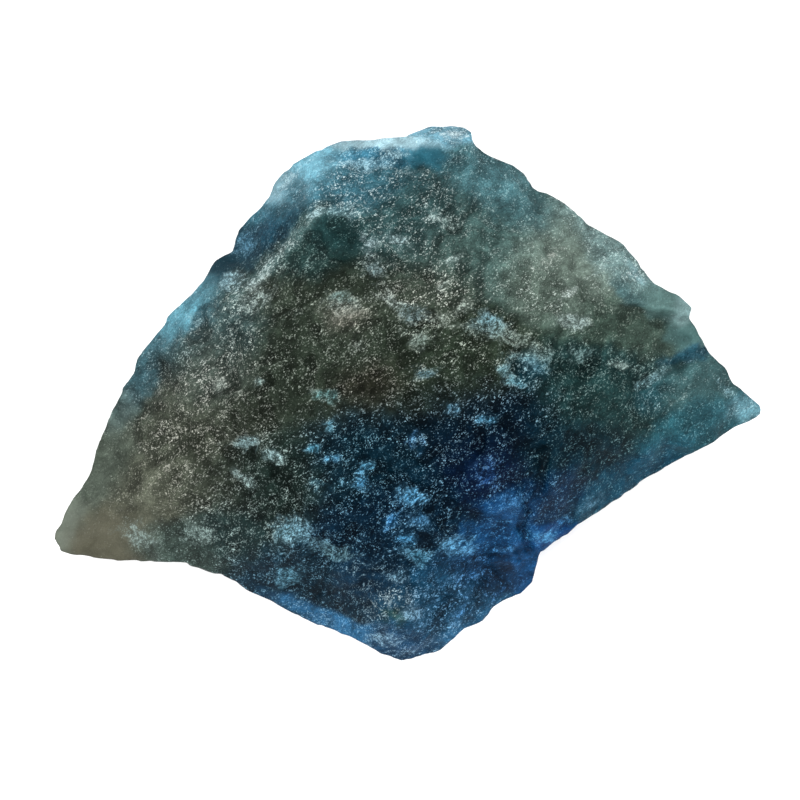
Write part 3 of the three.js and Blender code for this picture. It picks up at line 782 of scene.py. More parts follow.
CLOUDS = (
    # On the left side
    Cloud("tip edge", (-37.8, -19.8), (3.2, 1.8), -35, "#849893", 0.77),
    Cloud("tip edge, end", (-34.5, -22.4), (2, 1.2), -30, "#667f7a", 0.12),
    Cloud("low, pale", (-29.2, -19.9), (2.6, 1.7), 0, "#7e938f", 0.9),
    Cloud("left, teal", (-18.6, -8.8), (2.2, 1.1), -30, "#8fb0b4", 0.65),
    Cloud("left, small bright", (-22.2, -6.9), (1.4, 1.3), 0, "#8fb0b4", 1),
    Cloud("left, upper grey", (-25, -7.3), (1.6, 0.9), 10, "#7b8f8c", 0.42),
    Cloud("left, grey", (-23.9, -11.3), (1.5, 0.7), -20, "#90a9a8", 0.48),
    Cloud("left, grey, low", (-22.9, -12.4), (1.6, 0.7), -15, "#90a9a8", 1.2),
    Cloud("left, high", (-20.6, 1.7), (1, 0.8), 0, "#7d9896", 0.7),
    Cloud("left, lace", (-26, 1.2), (2.2, 1.5), 20, "#9aa69e", 0.6),
    Cloud("left, brownish", (-33.5, -10.6), (1.8, 1.4), 0, "#86867c", 0.35),
    # At the top
    Cloud("shoulder, pale", (-16.4, 29.8), (2.2, 1.4), 45, "#a6c9d3", 0.7),
    Cloud("crease, foot", (0.2, 30.4), (2.4, 1.1), 0, "#7fa3ac", 0.5),
    Cloud("rim, pale", (-1.2, 33.5), (2.4, 0.7), 3, "#9cc1cc", 0.75),
    Cloud("cap, pale", (6.7, 36.3), (2, 0.8), 0, "#bcd5db", 0.7),
    Cloud("bevel, pale", (-24.4, 15.7), (1.8, 1.4), 30, "#9cc6d2", 0.95),
    Cloud("bevel, foot", (-29.2, 9.8), (1.7, 1.1), 45, "#7fa3aa", 0.75),
    Cloud("bevel, blue", (-22.8, 21), (2.1, 1.8), 30, "#4f7f98", 0.85),
    Cloud("over the hollow", (-8.8, 25.4), (3, 1.1), 8, "#86abb2", 0.75),
    Cloud("ridge top", (-12.6, 25.5), (1.9, 0.9), 20, "#93b2b7", 0.6),
    Cloud("ridge, streak", (-19.4, 17.5), (5.6, 0.8), 48, "#a9bcbb", 0.5),
    Cloud("left of the dome", (-16, 11), (2.2, 1.5), 0, "#6f837c", 0.35),
    Cloud("ridge, foot", (-21, 13.4), (4.2, 1.9), 48, "#9db2b0", 0.52),
    Cloud("under the rim", (-5, 32), (4, 1), 5, "#8bbaca", 0.9),
    Cloud("upper middle, right", (5.9, 23.6), (1.6, 1.2), 0, "#8ba5a1", 0.85),
    Cloud("pale strokes", (-5.3, 21.2), (1.8, 1.4), -50, "#a5bdc3", 0.5),
    Cloud("pale strokes, right", (-1.2, 21.6), (2.2, 1), -10, "#8fadb1", 0.75),
    Cloud("blue grey", (-4.4, 17.5), (2, 1.6), 0, "#678084", 0.8),
    Cloud("upper middle", (3.6, 24.7), (1.1, 0.9), 0, "#9db5b3", 0.68),
    Cloud("upper middle, low", (6.9, 18.9), (2.6, 0.7), 30, "#98aeab", 0.6),
    Cloud("upper right, foot", (5.1, 15), (1.8, 0.9), 35, "#85968f", 0.62),
    Cloud("taupe, streaks", (19.8, 18.9), (3.4, 1), 42, "#a3ada4", 0.6),
    Cloud("taupe, white streak", (22.4, 13.9), (2, 0.6), 32, "#b5c4c0", 0.9),
    Cloud("edge, streaks", (27.2, 17.4), (2.6, 0.8), 40, "#a9c6c7", 0.35),
    # In the middle
    Cloud("pale dome", (-8.9, 12.8), (2.3, 1.5), 0, "#5e7a78", 0.95),
    Cloud("pinkish patch", (-8.6, 10.6), (3, 2), 0, "#7a7970", 0.72),
    Cloud("pale flake", (-2.4, 13.8), (1.6, 1.7), 15, "#8f9c98", 0.5),
    Cloud("pale flake, low", (-1.2, 12.2), (1.5, 0.8), -35, "#7f908c", 0.77),
    Cloud("under the flake", (1.4, 11.2), (1.8, 1.4), 0, "#5f7a80", 0.9),
    Cloud("middle, grey", (1.9, 6.9), (2.2, 1.6), 0, "#7a8c85", 0.94),
    Cloud("middle, pale", (5, 10), (2.2, 1.4), -20, "#86938a", 0.6),
    Cloud("middle, small", (-0.5, 9.2), (1.4, 1.1), 0, "#5c6d66", 0.25),
    Cloud("middle, left", (-7.2, 6.5), (1.4, 1.1), 0, "#7c8780", 0.6),
    Cloud("small blue", (11.4, 9.8), (2.4, 1.5), 0, "#56889a", 0.62),
    Cloud("beside the small blue", (8.2, 11.8), (2, 1.2), 0, "#86968d", 0.62),
    Cloud("left of the ring", (9.2, 8.1), (1.9, 1), -10, "#74877f", 0.5),
    Cloud("above the ring", (14.4, 8), (4, 1.5), -22, "#81968f", 0.6),
    Cloud("low blue", (3, 2.6), (2.7, 1.1), -4, "#4c7584", 0.62),
    Cloud("right mist", (22.9, 10.1), (2.7, 1.4), -8, "#9db3b1", 0.95),
    Cloud("brown green, streak", (30.3, 3.6), (2.6, 0.7), -12, "#8ea29d", 0.65),
    Cloud("fan, crest", (34.2, 2), (3.2, 0.9), 28, "#7ba3ac", 0.8),
    Cloud("right tip, edge", (44.8, 1.3), (2, 1.2), -50, "#7fb0bd", 0.6),
    Cloud("fan, grey", (38.8, -0.6), (2.4, 0.6), 30, "#7f9a99", 0.5),
    Cloud("right of middle, upper", (24.4, 5.4), (3, 1.1), 0, "#6f8f90", 0.6),
    Cloud("ring, top", (15.3, 5.1), (2.4, 0.8), -5, "#658a92", 0.8),
    Cloud("ring, right", (18.9, 5.9), (1.7, 1), 0, "#7c9896", 0.5),
    Cloud("ring, left", (13.6, 2.3), (1.2, 1.8), 30, "#6b98a2", 0.9),
    Cloud("ring, heart", (18.4, 3.6), (2.3, 1.8), 0, "#356171", 0.6),
    Cloud("ring, foot", (16, 0.9), (1.7, 0.7), -30, "#4c8698", 0.7),
    # In the navy part
    Cloud("upper left", (-11, -0.5), (1.9, 0.9), 5, "#5b8a8b", 1.15),
    Cloud("left, dim", (-10.6, -4.3), (1.1, 1.1), 0, "#3f7387", 0.65),
    Cloud("left, first", (-12.8, -7.5), (1.4, 0.91), 0, "#4c93b0", 0.9),
    Cloud("left, second", (-10.4, -9.1), (1.2, 0.8), 0, "#4a93bd", 0.68),
    Cloud("left, third", (-5.9, -9.9), (1.6, 0.94), 0, "#4a93b8", 0.8),
    Cloud("left, streaks", (-11.7, -12.9), (2.5, 1.1), 12, "#3f7f97", 0.5),
    Cloud("left, fourth", (-6.7, -12.2), (1.9, 1.4), -30, "#3f82ab", 0.75),
    Cloud("middle, royal", (0.7, -6.8), (1.6, 1.7), 0, "#2a70ae", 0.45),
    Cloud("navy, small", (6.3, -2.3), (1.5, 1), 0, "#4c85a3", 0.65),
    Cloud("right, bright", (11.4, -4), (1.8, 0.8), 0, "#3d90b8", 0.6),
    Cloud("right, royal", (11.3, -11.2), (2.3, 2.2), 0, "#1b4f94", 0.7),
    Cloud("low, bright", (0.8, -14.4), (2.4, 1.3), 0, "#579fcb", 0.85),
    Cloud("low, streak", (-2.2, -17.4), (1.2, 2), -25, "#3480bc", 0.78),
    Cloud("low, middle", (2.2, -17.5), (1.7, 1.2), 0, "#3a719b", 0.7),
    Cloud("low, small", (0, -20.3), (1.7, 1.1), 10, "#4187b4", 1.0),
    Cloud("low, teal", (2, -22.8), (2, 1.5), 0, "#46809a", 0.85),
    Cloud("ledge block", (15.2, -15.2), (2.2, 2), 10, "#3f7eb4", 0.55),
    Cloud("ledge", (7.3, -21.3), (2.4, 1.4), 8, "#61a3cc", 1),
    Cloud("notch", (19, -20.2), (2.6, 1.1), -10, "#55a4d6", 0.8),
    Cloud("notch, arm", (22, -18.1), (1.5, 0.7), 35, "#2f7fc0", 0.8),
    # On the nub and the lower left side
    Cloud("ledge lip", (14.2, -21.9), (2.6, 0.5), 0, "#3f7cae", 0.8),
    Cloud("nub, upper right", (9, -25.4), (1.6, 2.3), -20, "#2f6db0", 0.35),
    Cloud("nub, middle", (7.5, -30.3), (2.1, 1.4), 25, "#3379b8", 0.3),
    Cloud("nub, edge", (12.6, -28.2), (2, 0.9), 30, "#1f78d0", 0.4),
    Cloud("nub, clods", (5.8, -29), (6, 4.5), 20, "#3d86bf", 0.25),
    Cloud("beside the notch", (25.4, -15.9), (2.7, 1), 32, "#5f93b2", 0.7),
    Cloud("nub, left", (-1.8, -25.6), (2.2, 1.2), -10, "#5f8ba3", 0.6),
    Cloud("nub, foot", (0.2, -31), (1.9, 1.1), 0, "#7aa5bd", 0.8),
    Cloud("nub, lowest", (-3.6, -34.6), (2.6, 1), 0, "#86aec4", 0.75),
    Cloud("nub, pale", (-2, -28.9), (2.1, 1.1), -10, "#7f9aa2", 0.3),
    Cloud("lower left", (-16.2, -19.2), (2.6, 2.4), 12, "#76a6b8", 1.05),
    Cloud("lower left, pale", (-10.4, -22), (3, 1.1), -20, "#5d818a", 1.05),
    Cloud("lower left, small", (-16.8, -25.8), (2.1, 1.7), 20, "#5b93a8", 0.9),
)


def linear(color: str) -> tuple[float, float, float, float]:
    """Turns an sRGB hex colour into linear light.

    A part up to 0.04045 is divided by 12.92, and a larger one is ((part + 0.055) / 1.055)^2.4.

    Args:
        color: The colour as # and six hex digits.

    Returns:
        Red, green and blue from 0 to 1, with an alpha of 1.
    """
    parts = (int(color[start : start + 2], 16) / 255 for start in (1, 3, 5))
    red, green, blue = (
        part / 12.92 if part <= 0.04045 else ((part + 0.055) / 1.055) ** 2.4 for part in parts
    )
    return red, green, blue, 1.0


class Layer(Enum):
    """The values that the mesh carries for its material."""

    GROUND = "ground"
    GLINT = "glint"
    CLOUD = "cloud"
    SHARE = "share"
    MIST = "mist"
    CALM = "calm"
    EDGE = "edge"
    # The relief is read for painted shade in creases and painted light on ridges
    RELIEF = "relief"


@dataclass(frozen=True)
class SaltColors:
    """The salt's colours over the lump, blended from its zones and clouds.

    The zones' and clouds' colours are what the eye sees, so the studio's gain comes off them, and
    its faint shine comes off the ground. Thin stray clouds lie everywhere, in a dark tint of the
    grains around them.
    """

    zone_sharpness: float = 1.5
    cloud_wander: float = 0.5
    stray_density: float = 0.25
    stray_shade: float = 0.22
    studio_gain: float = 1.74
    studio_shine: float = 0.0016
    darkest: float = 0.0006
    # How much brighter the painted glints are drawn
    glint_gain: float = 1.5

    def zones(self, points: Array, flat: Array) -> dict[Layer, Array]:
        """Blends the zones over the lump.

        Each zone counts by exp(-sharpness·(d² - least d²)), where d² is the squared distance from
        it in its half widths, and the weights of all zones add up to one.

        Args:
            points: Rows of X, Y and Z, which the wandering is taken from.
            flat: Rows of X and Y, which the zones are read at.

        Returns:
            The values of each layer, one row for each place.
        """
        shifted = wandering(points, flat)
        distance = np.stack([oval_distance(shifted, zone) for zone in ZONES], axis=1)
        nearest = distance.min(axis=1, keepdims=True)
        weight = np.exp(-self.zone_sharpness * (distance - nearest))
        weight /= weight.sum(axis=1, keepdims=True)
        ground = weight @ np.array([linear(zone.ground) for zone in ZONES])
        glint = weight @ np.array([linear(zone.glint) for zone in ZONES])
        return {
            Layer.GROUND: np.maximum(ground - self.studio_shine, self.darkest) / self.studio_gain,
            Layer.GLINT: glint * self.glint_gain / self.studio_gain,
            Layer.SHARE: weight @ np.array([zone.share for zone in ZONES]),
        }

    def clouds(self, points: Array, flat: Array, stray: Array) -> dict[Layer, Array]:
        """Adds up the clouds over the lump.

        Each cloud counts by density·exp(-d²), beside a thin stray cloud everywhere. The colour is
        the mean by those weights, and the mist is their sum, at most one.

        Args:
            points: Rows of X, Y and Z, which the wandering is taken from.
            flat: Rows of X and Y, which the clouds are read at.
            stray: The stray cloud's colour at each place.

        Returns:
            The values of each layer, one row for each place.
        """
        shifted = flat + self.cloud_wander * (wandering(points, flat) - flat)
        ovals = [cloud.density * np.exp(-oval_distance(shifted, cloud)) for cloud in CLOUDS]
        weight = np.stack(ovals)
        total = weight.sum(axis=0) + self.stray_density
        colors = weight.T @ np.array([linear(cloud.color) for cloud in CLOUDS]) / self.studio_gain
        return {
            Layer.CLOUD: (colors + self.stray_density * stray) / total[:, None],
            Layer.MIST: np.minimum(1, total),
        }

    def layers(self, points: Array, flat: Array) -> dict[Layer, Array]:
        """Works out the colours, the share of grains and the mist over the lump.

        Args:
            points: Rows of X, Y and Z, which the wandering is taken from.
            flat: Rows of X and Y, which the zones and clouds are read at.

        Returns:
            The values of each layer, one row for each place.
        """
        layers = self.zones(points, flat)
        return layers | self.clouds(points, flat, self.stray_shade * layers[Layer.GLINT])


# The mesh


@dataclass(frozen=True)
class Chart:
    """A part's oblong on the UV map: its low corner, width and height, and whether it's turned."""

    low: Place
    size: Place
    turned: bool = False

    def placed(self, uv: Array) -> Array:
        """Moves places on the unit square into the chart."""
        return np.array(self.low) + (uv[..., ::-1] if self.turned else uv) * np.array(self.size)


# The UV map: the upper side fills most of it, and the back and the wall's four sides the rest
UV_NAME = "OFBake"
UPPER_CHART = Chart((0.004, 0.004), (0.672, 0.672))
BACK_CHART = Chart((0.684, 0.684), (0.312, 0.312))
WALL_CHARTS = (
    Chart((0.684, 0.004), (0.152, 0.672), turned=True),
    Chart((0.842, 0.004), (0.152, 0.672), turned=True),
    Chart((0.004, 0.684), (0.672, 0.152)),
    Chart((0.004, 0.842), (0.672, 0.152)),
)


@dataclass
class RockSaltLump:
    """The whole lump, as one closed mesh with its UV map, colours and finish."""

    upper: UpperSide = UpperSide()
    wall: BrokenWall = BrokenWall()
    back: FlatBack = FlatBack()
    colors: SaltColors = SaltColors()

    # Quads across each side of the outline, and down the wall
    across: int = 200
    down: int = 20

    # How far inside the rim the foot of the wall takes its colours from, and how high it counts
    wall_color_reach: float = 9.0
    wall_height: float = 14.0

    # How far in from the rim the salt lets light through, and the quads that relief is read over
    edge_reach: float = 7.0
    relief_reaches: tuple[int, ...] = (2, 4)

    def patch(self, draw_in: bool) -> Array:
        """Fills the four sides with a grid of places.

        A place is the blend of left and right, plus the blend of bottom and top, less the blend
        of the four corners.

        Args:
            draw_in: Whether the sides are those of the foot, drawn in from the rim.

        Returns:
            A grid of X and Y, by the share across and then the share up.
        """
        share = np.linspace(0, 1, self.across + 1)
        sides = [
            along_side(LEFT_TIP_TO_CAP, share),
            along_side(NUB_TO_LEFT_TIP, 1 - share),
            along_side(RIGHT_TIP_TO_NUB, 1 - share),
            along_side(CAP_TO_RIGHT_TIP, share),
        ]
        sides = [self.wall.nicked(side) for side in sides]
        if draw_in:
            sides = [drawn_in(side, self.wall.foot(side)) for side in sides]
        left, bottom, right, top = sides
        s = share[:, None, None]
        t = share[None, :, None]
        corners = (1 - s) * ((1 - t) * left[0] + t * left[-1])
        corners = corners + s * ((1 - t) * right[0] + t * right[-1])
        grid = (1 - s) * left[None] + s * right[None]
        return grid + (1 - t) * bottom[:, None] + t * top[:, None] - corners

    def shares(self) -> Array:
        """Lists the grid corners' shares across and up, as two rows."""
        share = np.linspace(0, 1, self.across + 1)
        return np.stack(np.meshgrid(share, share, indexing="ij")).reshape(2, -1)

    def rim_numbers(self) -> Array:
        """Numbers the grid's border corners once around, anticlockwise from above.

        Returns:
            The border's corner numbers in order.
        """
        n = self.across
        run = np.arange(n)
        i = np.concatenate((run, np.full(n, n), n - run, np.zeros(n, int)))
        j = np.concatenate((np.zeros(n, int), run, np.full(n, n), n - run))
        return i * (n + 1) + j

    def corners(self) -> tuple[Array, Array, Array]:
        """Works out every corner of the mesh.

        The upper side and the back are heights over their grids. The wall's rings run evenly
        down from the one border to the other, and are drawn in as they go.

        Returns:
            Rows of X, Y and Z, the flat place that each corner takes its colour from, and how
            far each corner is from the rim.
        """
        upper_flat = self.patch(draw_in=False).reshape(-1, 2)
        back_flat = self.patch(draw_in=True).reshape(-1, 2)
        reach = np.max([np.abs(2 * side - 1) for side in self.shares()], axis=0)
        upper = with_height(upper_flat, self.upper.height(upper_flat))
        back = with_height(back_flat, self.back.height(back_flat, reach))
        border = self.rim_numbers()
        down = np.repeat(np.arange(1, self.down) / self.down, len(border))
        ring = np.tile(upper_flat[border], (self.down - 1, 1))
        top = np.tile(upper[border, 2], self.down - 1)
        foot = np.tile(back[border, 2], self.down - 1)
        z = top * (1 - down) + foot * down
        inset = self.wall.inset(with_height(ring, z), ring, down)
        wall = with_height(drawn_in(ring, inset), z)
        wall_flat = drawn_in(ring, self.wall_color_reach * down)
        across, along = (np.minimum(side, 1 - side) for side in self.shares())
        from_border = np.minimum(across, along) * LENGTH / 2
        high = self.wall_height
        from_rim = np.concatenate((from_border, from_border + high, high * down))
        flat = np.concatenate((upper_flat, back_flat, wall_flat))
        return np.concatenate((upper, back, wall)), flat, from_rim

    def relief(self, corners: Array) -> Array:
        """Gives how far each corner stands out, which the finish paints as shade and light.

        On the upper side and the back it is the height less the mean height of the four corners
        a few steps away, added up over a short and a long reach, and turned over for the back,
        which faces down. On the wall it is zero.

        Args:
            corners: Every corner of the mesh, one row each.

        Returns:
            One height for each corner, below zero in creases.
        """
        n = self.across + 1
        sides = corners[: 2 * n * n, 2].reshape(2, n, n)
        stands_out = np.zeros_like(sides)
        for reach in self.relief_reaches:
            around = ((0, 0), (reach, reach), (reach, reach))
            wide = np.pad(sides, around, mode="reflect", reflect_type="odd")
            near, middle, far = (slice(start, n + start) for start in (0, reach, 2 * reach))
            pairs = ((near, middle), (far, middle), (middle, near), (middle, far))
            stands_out += sides - sum(wide[:, i, j] for i, j in pairs) / len(pairs)
        stands_out[1] *= -1
        return np.concatenate((stands_out.ravel(), np.zeros(len(corners) - 2 * n * n)))

    def quads(self) -> tuple[Array, Array]:
        """Joins the corners into outward quads, each with its place on the UV map.

        Returns:
            Four corner numbers for each quad, and four UV places for each quad.
        """
        n = self.across
        number = np.arange((n + 1) ** 2).reshape(n + 1, n + 1)
        share = np.linspace(0, 1, n + 1)
        place = np.stack(np.meshgrid(share, share, indexing="ij"), axis=-1)
        low, high = slice(0, n), slice(1, n + 1)
        turns = ((low, low), (high, low), (high, high), (low, high))
        upper = np.stack([number[turn].ravel() for turn in turns], axis=1)
        upper_uv = np.stack([place[turn].reshape(-1, 2) for turn in turns], axis=1)
        wall, wall_uv = self.wall_quads()
        quads = np.concatenate((upper, upper[:, ::-1] + number.size, wall))
        charts = (UPPER_CHART.placed(upper_uv), BACK_CHART.placed(upper_uv[:, ::-1]), wall_uv)
        return quads, np.concatenate(charts)

    def wall_quads(self) -> tuple[Array, Array]:
        """Joins the wall's rings, from the rim to the foot, into outward quads.

        Returns:
            Four corner numbers for each quad, and four UV places for each quad.
        """
        n = self.across
        grid = (n + 1) ** 2
        border = self.rim_numbers()
        between = 2 * grid + np.arange((self.down - 1) * len(border)).reshape(-1, len(border))
        rings = np.concatenate((border[None], between, border[None] + grid))
        ahead = np.roll(rings, -1, axis=1)
        quads = np.stack((rings[:-1], rings[1:], ahead[1:], ahead[:-1]), axis=-1).reshape(-1, 4)
        side = np.tile(np.arange(4 * n) // n, self.down)
        start = np.tile(np.arange(4 * n) % n, self.down) / n
        top = np.repeat(np.arange(self.down), 4 * n) / self.down
        run = np.stack((start, start, start + 1 / n, start + 1 / n), axis=1)
        drop = np.stack((top, top + 1 / self.down, top + 1 / self.down, top), axis=1)
        uv = np.stack((run, drop), axis=-1)
        for index, chart in enumerate(WALL_CHARTS):
            uv[side == index] = chart.placed(uv[side == index])
        return quads, uv

    def fitted(self, corners: Array) -> Array:
        """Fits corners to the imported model's box, in metres.

        Args:
            corners: Every corner of the mesh, in hundredths of the lump's length.

        Returns:
            The same corners in metres.
        """
        low, high = (np.array(corner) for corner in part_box(CAD_NODE))
        unit = (high[0] - low[0]) / LENGTH
        scaled = corners * np.array((unit, unit, (high[2] - low[2]) / corners[:, 2].max()))
        offset = (low + high) / 2 - (scaled.min(axis=0) + scaled.max(axis=0)) / 2
        offset[2] = low[2]
        return scaled + offset

    def build(self) -> bpy.types.Object:
        """Builds the lump's object with its mesh, UV map, colours and finish.

        Returns:
            The lump.
        """
        corners, flat, from_rim = self.corners()
        quads, uv = self.quads()
        mesh = bpy.data.meshes.new(PIECE)
        mesh.from_pydata(self.fitted(corners).tolist(), [], quads.tolist())
        mesh.update()
        mesh.uv_layers.new(name=UV_NAME).data.foreach_set("uv", uv.ravel())
        layers = self.colors.layers(corners, flat)
        layers[Layer.CALM] = 1 - self.upper.texture_share(flat)
        layers[Layer.EDGE] = np.exp(-((from_rim / self.edge_reach) ** 2))
        layers[Layer.RELIEF] = self.relief(corners)
        for layer, values in layers.items():
            if values.ndim == 2:
                attribute = mesh.attributes.new(layer.value, "FLOAT_COLOR", "POINT")
                attribute.data.foreach_set("color", values.ravel())
            else:
                attribute = mesh.attributes.new(layer.value, "FLOAT", "POINT")
                attribute.data.foreach_set("value", values)
        mesh.shade_smooth()
        mesh.materials.append(SugaryHalite().material())
        lump = bpy.data.objects.new(PIECE, mesh)
        bpy.context.scene.collection.objects.link(lump)
        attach(lump, BODY)
        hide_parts(CAD_NODE)
        return lump


# The finish


class NodeKind(Enum):
    """Shader nodes that the finishes are made of."""

    ATTRIBUTE = "ShaderNodeAttribute"
    BUMP = "ShaderNodeBump"
    COORDINATES = "ShaderNodeTexCoord"
    MAPPING = "ShaderNodeMapping"
    MATH = "ShaderNodeMath"
    MIX = "ShaderNodeMix"
    NOISE = "ShaderNodeTexNoise"
    OUTPUT = "ShaderNodeOutputMaterial"
    PRINCIPLED = "ShaderNodeBsdfPrincipled"
    RANGE = "ShaderNodeMapRange"
    VOLUME = "ShaderNodeVolumeAbsorption"
    VORONOI = "ShaderNodeTexVoronoi"


def add_node(
    tree: bpy.types.NodeTree,
    kind: NodeKind,
    inputs: Mapping[str | int, object] | Sequence[object] = (),
    output: str | int = 0,
    **settings: object,
) -> Socket:
    """Adds a node with its settings and inputs.

    Args:
        tree: The node tree that it goes into.
        kind: Which node it is.
        inputs: A value or a feeding output for each input, by name or number, or in order.
        output: The output that is wanted, by name or number.
        settings: The node's own settings by name.

    Returns:
        The wanted output, or the node's first input where it has no output.
    """
    node = tree.nodes.new(kind.value)
    for name, value in settings.items():
        setattr(node, name, value)
    for key, value in inputs.items() if isinstance(inputs, Mapping) else enumerate(inputs):
        if isinstance(value, Socket):
            tree.links.new(value, node.inputs[key])
        else:
            node.inputs[key].default_value = value
    return node.outputs[output] if node.outputs else node.inputs[0]


# The colour mix's sockets by number, because their names repeat
FACTOR, UNDER, OVER, MIXED = 0, 6, 7, 2

# Settings of the nodes that the finish uses most
SMOOTH = {"interpolation_type": "SMOOTHSTEP"}
BLEND = {"data_type": "RGBA", "output": MIXED}
TINT = {"blend_type": "MULTIPLY", **BLEND}
TIMES, PLUS, LESS, TIMES_PLUS, ABSOLUTE = (
    {"operation": name} for name in ("MULTIPLY", "ADD", "SUBTRACT", "MULTIPLY_ADD", "ABSOLUTE")
)

# A ramp gives its last two values at its first two, and times and plus multiply and then add
Ramp = tuple[float, float, float, float]
TimesPlus = tuple[float, float]


@dataclass(frozen=True)
class Noise:
    """One fractal noise: the size of its hills in millimetres, and how fine and rough it goes."""

    size: float
    detail: float
    roughness: float
    distortion: float = 0.0


@dataclass(frozen=True)
class SaltPatterns:
    """What the finish is drawn from: the mesh's layers, the crumbs and the noises."""

    layers: Mapping[Layer, Socket]
    crumbs: Socket
    mottle: Socket
    cloud: Socket
    cluster: Socket
    lace: Socket
    broad: Socket
    cotton: Socket
    grain: Socket


@dataclass(frozen=True)
class SugaryHalite:
    """Massive rock salt, broken and weathered.

    Its clouds of brine bubbles hide the depth, so the eye sees a dim body colour. The broken
    grains over it catch the light, and their glints are painted into the colour as pale crumbs,
    packed in clusters and along fine lines. Worn salt has next to no sheen of its own. Sizes are
    in millimetres. The crumbs are drawn 0.13 mm wide and 0.22 mm long, about twice as wide as
    the grains' own lit edges, because the camera sees nothing finer.
    """

    ior: float = 1.544
    specular: float = 0.01
    roughness: float = 0.45
    calm_roughness: float = 0.36
    grain_roughness: float = 0.3
    edge_transmission: float = 0.12
    body_color: str = "#52b4c8"
    body_density: float = 190.0

    # The patterns, and the turned and stretched fabric that most of them follow
    broad: Noise = Noise(8.0, 4, 0.55)
    mottle: Noise = Noise(1.8, 6, 0.65)
    cloud: Noise = Noise(1.8, 6, 0.72, 0.6)
    cotton: Noise = Noise(0.75, 4, 0.75, 0.6)
    cluster: Noise = Noise(2.4, 5, 0.7, 0.3)
    lace: Noise = Noise(0.8, 4, 0.7, 0.6)
    grain: Noise = Noise(0.22, 1, 0.8)
    crumb_size: float = 0.13
    fabric_turn: float = 35.0
    fabric_stretch: float = 1.7

    # How the ground is shaded, and how much of that shows by the share of grains and at the rim
    broad_shade: Ramp = (0.3, 0.7, 0.85, 1.15)
    # relief_shade paints shade into creases and light onto ridges
    relief_shade: Ramp = (-0.4, 0.4, 0.7, 1.35)
    mottle_shade: Ramp = (0.36, 0.64, 0.7, 1.3)
    crumb_shade: Ramp = (0.1, 0.9, 0.6, 1.4)
    sugary_share: Ramp = (0.05, 0.45, 0.15, 1)
    rim_share: TimesPlus = (-0.6, 1)

    # How high the cloud noise has to be by the mist, over how much it frays, and its own grain
    cloud_start: TimesPlus = (-0.48, 0.7)
    cloud_fray: float = 0.34
    cotton_cover: Ramp = (0.38, 0.62, 0.15, 0.9)
    crumb_cover: Ramp = (0.1, 0.9, 0.5, 1.2)

    # How thick the crumbs lie in clusters, in clouds and along lace lines, and how they fade out
    cluster_packing: Ramp = (0.34, 0.66, 0.4, 1.2)
    cloud_packing: float = 0.6
    cotton_packing: Ramp = (0.35, 0.65, 0.3, 1.5)
    lace_middle: float = 0.5
    lace_line: Ramp = (0, 0.05, 1, 0)
    lace_breaks: Ramp = (0.38, 0.62, 0.2, 1.2)
    lace_packing: TimesPlus = (0.7, 0.35)
    crumb_start: TimesPlus = (-1.3, 0.92)
    crumb_fade: float = 0.85
    # How much brighter the painted glints are in clouds
    cloud_glint: float = 1.75

    # The fine bumps: their depth in metres, the mottling's part and what is left of them when calm
    bump_depth: float = 0.0001
    mottle_bump: float = 2.0
    calm_bump: float = 0.2

    def patterns(self, add: AddNode) -> SaltPatterns:
        """Adds the mesh's layers, the noises and the crumbs, small cells of chance values.

        Broad noise, cotton and grain lie plain, and all else follows the turned and stretched
        fabric.

        Args:
            add: Adds a node to the material.

        Returns:
            The patterns.
        """
        coordinates = add(NodeKind.COORDINATES, output="Object")
        place = add(NodeKind.MAPPING, {"Vector": coordinates, "Scale": (1 / MM,) * 3})
        layers = {
            layer: add(NodeKind.ATTRIBUTE, output=output, attribute_name=layer.value)
            for layer, output in zip(Layer, ("Color",) * 3 + ("Fac",) * 5)
        }
        stretched = add(NodeKind.MAPPING, {
            "Vector": place,
            "Rotation": (0, 0, math.radians(self.fabric_turn)),
            "Scale": (self.fabric_stretch, 1, 1),
        }, vector_type="TEXTURE")
        fabric = {
            "mottle": self.mottle, "cloud": self.cloud, "cluster": self.cluster, "lace": self.lace,
        }
        plain = {"broad": self.broad, "cotton": self.cotton, "grain": self.grain}
        noises = {
            name: add(NodeKind.NOISE, {
                "Vector": stretched if name in fabric else place,
                "Scale": 1 / noise.size,
                "Detail": noise.detail,
                "Roughness": noise.roughness,
                "Distortion": noise.distortion,
            })
            for name, noise in {**fabric, **plain}.items()
        }
        cells = {"Vector": stretched, "Scale": 1 / self.crumb_size}
        crumbs = add(NodeKind.VORONOI, cells, output="Color")
        return SaltPatterns(layers=layers, crumbs=crumbs, **noises)

    def ground(self, add: AddNode, found: SaltPatterns) -> Socket:
        """Shades the ground: broad shades everywhere, the finer ones mostly where it is sugary.

        The ground is multiplied by the shade of the broad noise, by painted shade in creases and
        painted light on ridges from the relief, and then by the shades of the mottling and the
        crumbs.

        Args:
            add: Adds a node to the material.
            found: The patterns.

        Returns:
            The ground's colour.
        """
        ground = found.layers[Layer.GROUND]
        sugary = add(NodeKind.RANGE, (found.layers[Layer.SHARE], *self.sugary_share), **SMOOTH)
        shade = add(NodeKind.RANGE, (found.broad, *self.broad_shade), **SMOOTH)
        # Painted shade in creases and painted light on ridges, from the relief, weaker at the rim
        shown = add(NodeKind.MATH, (found.layers[Layer.EDGE], *self.rim_share), **TIMES_PLUS)
        shown = add(NodeKind.MATH, (shown, sugary), **TIMES)
        stands_out = add(NodeKind.MATH, (found.layers[Layer.RELIEF], shown), **TIMES)
        painted_relief_shade = add(NodeKind.RANGE, (stands_out, *self.relief_shade), **SMOOTH)
        shade = add(NodeKind.MATH, (shade, painted_relief_shade), **TIMES)
        ground = add(NodeKind.MIX, {FACTOR: 1, UNDER: ground, OVER: shade}, **TINT)
        shade = add(NodeKind.RANGE, (found.mottle, *self.mottle_shade), **SMOOTH)
        ground = add(NodeKind.MIX, {FACTOR: sugary, UNDER: ground, OVER: shade}, **TINT)
        shade = add(NodeKind.RANGE, (found.crumbs, *self.crumb_shade))
        return add(NodeKind.MIX, {FACTOR: sugary, UNDER: ground, OVER: shade}, **TINT)

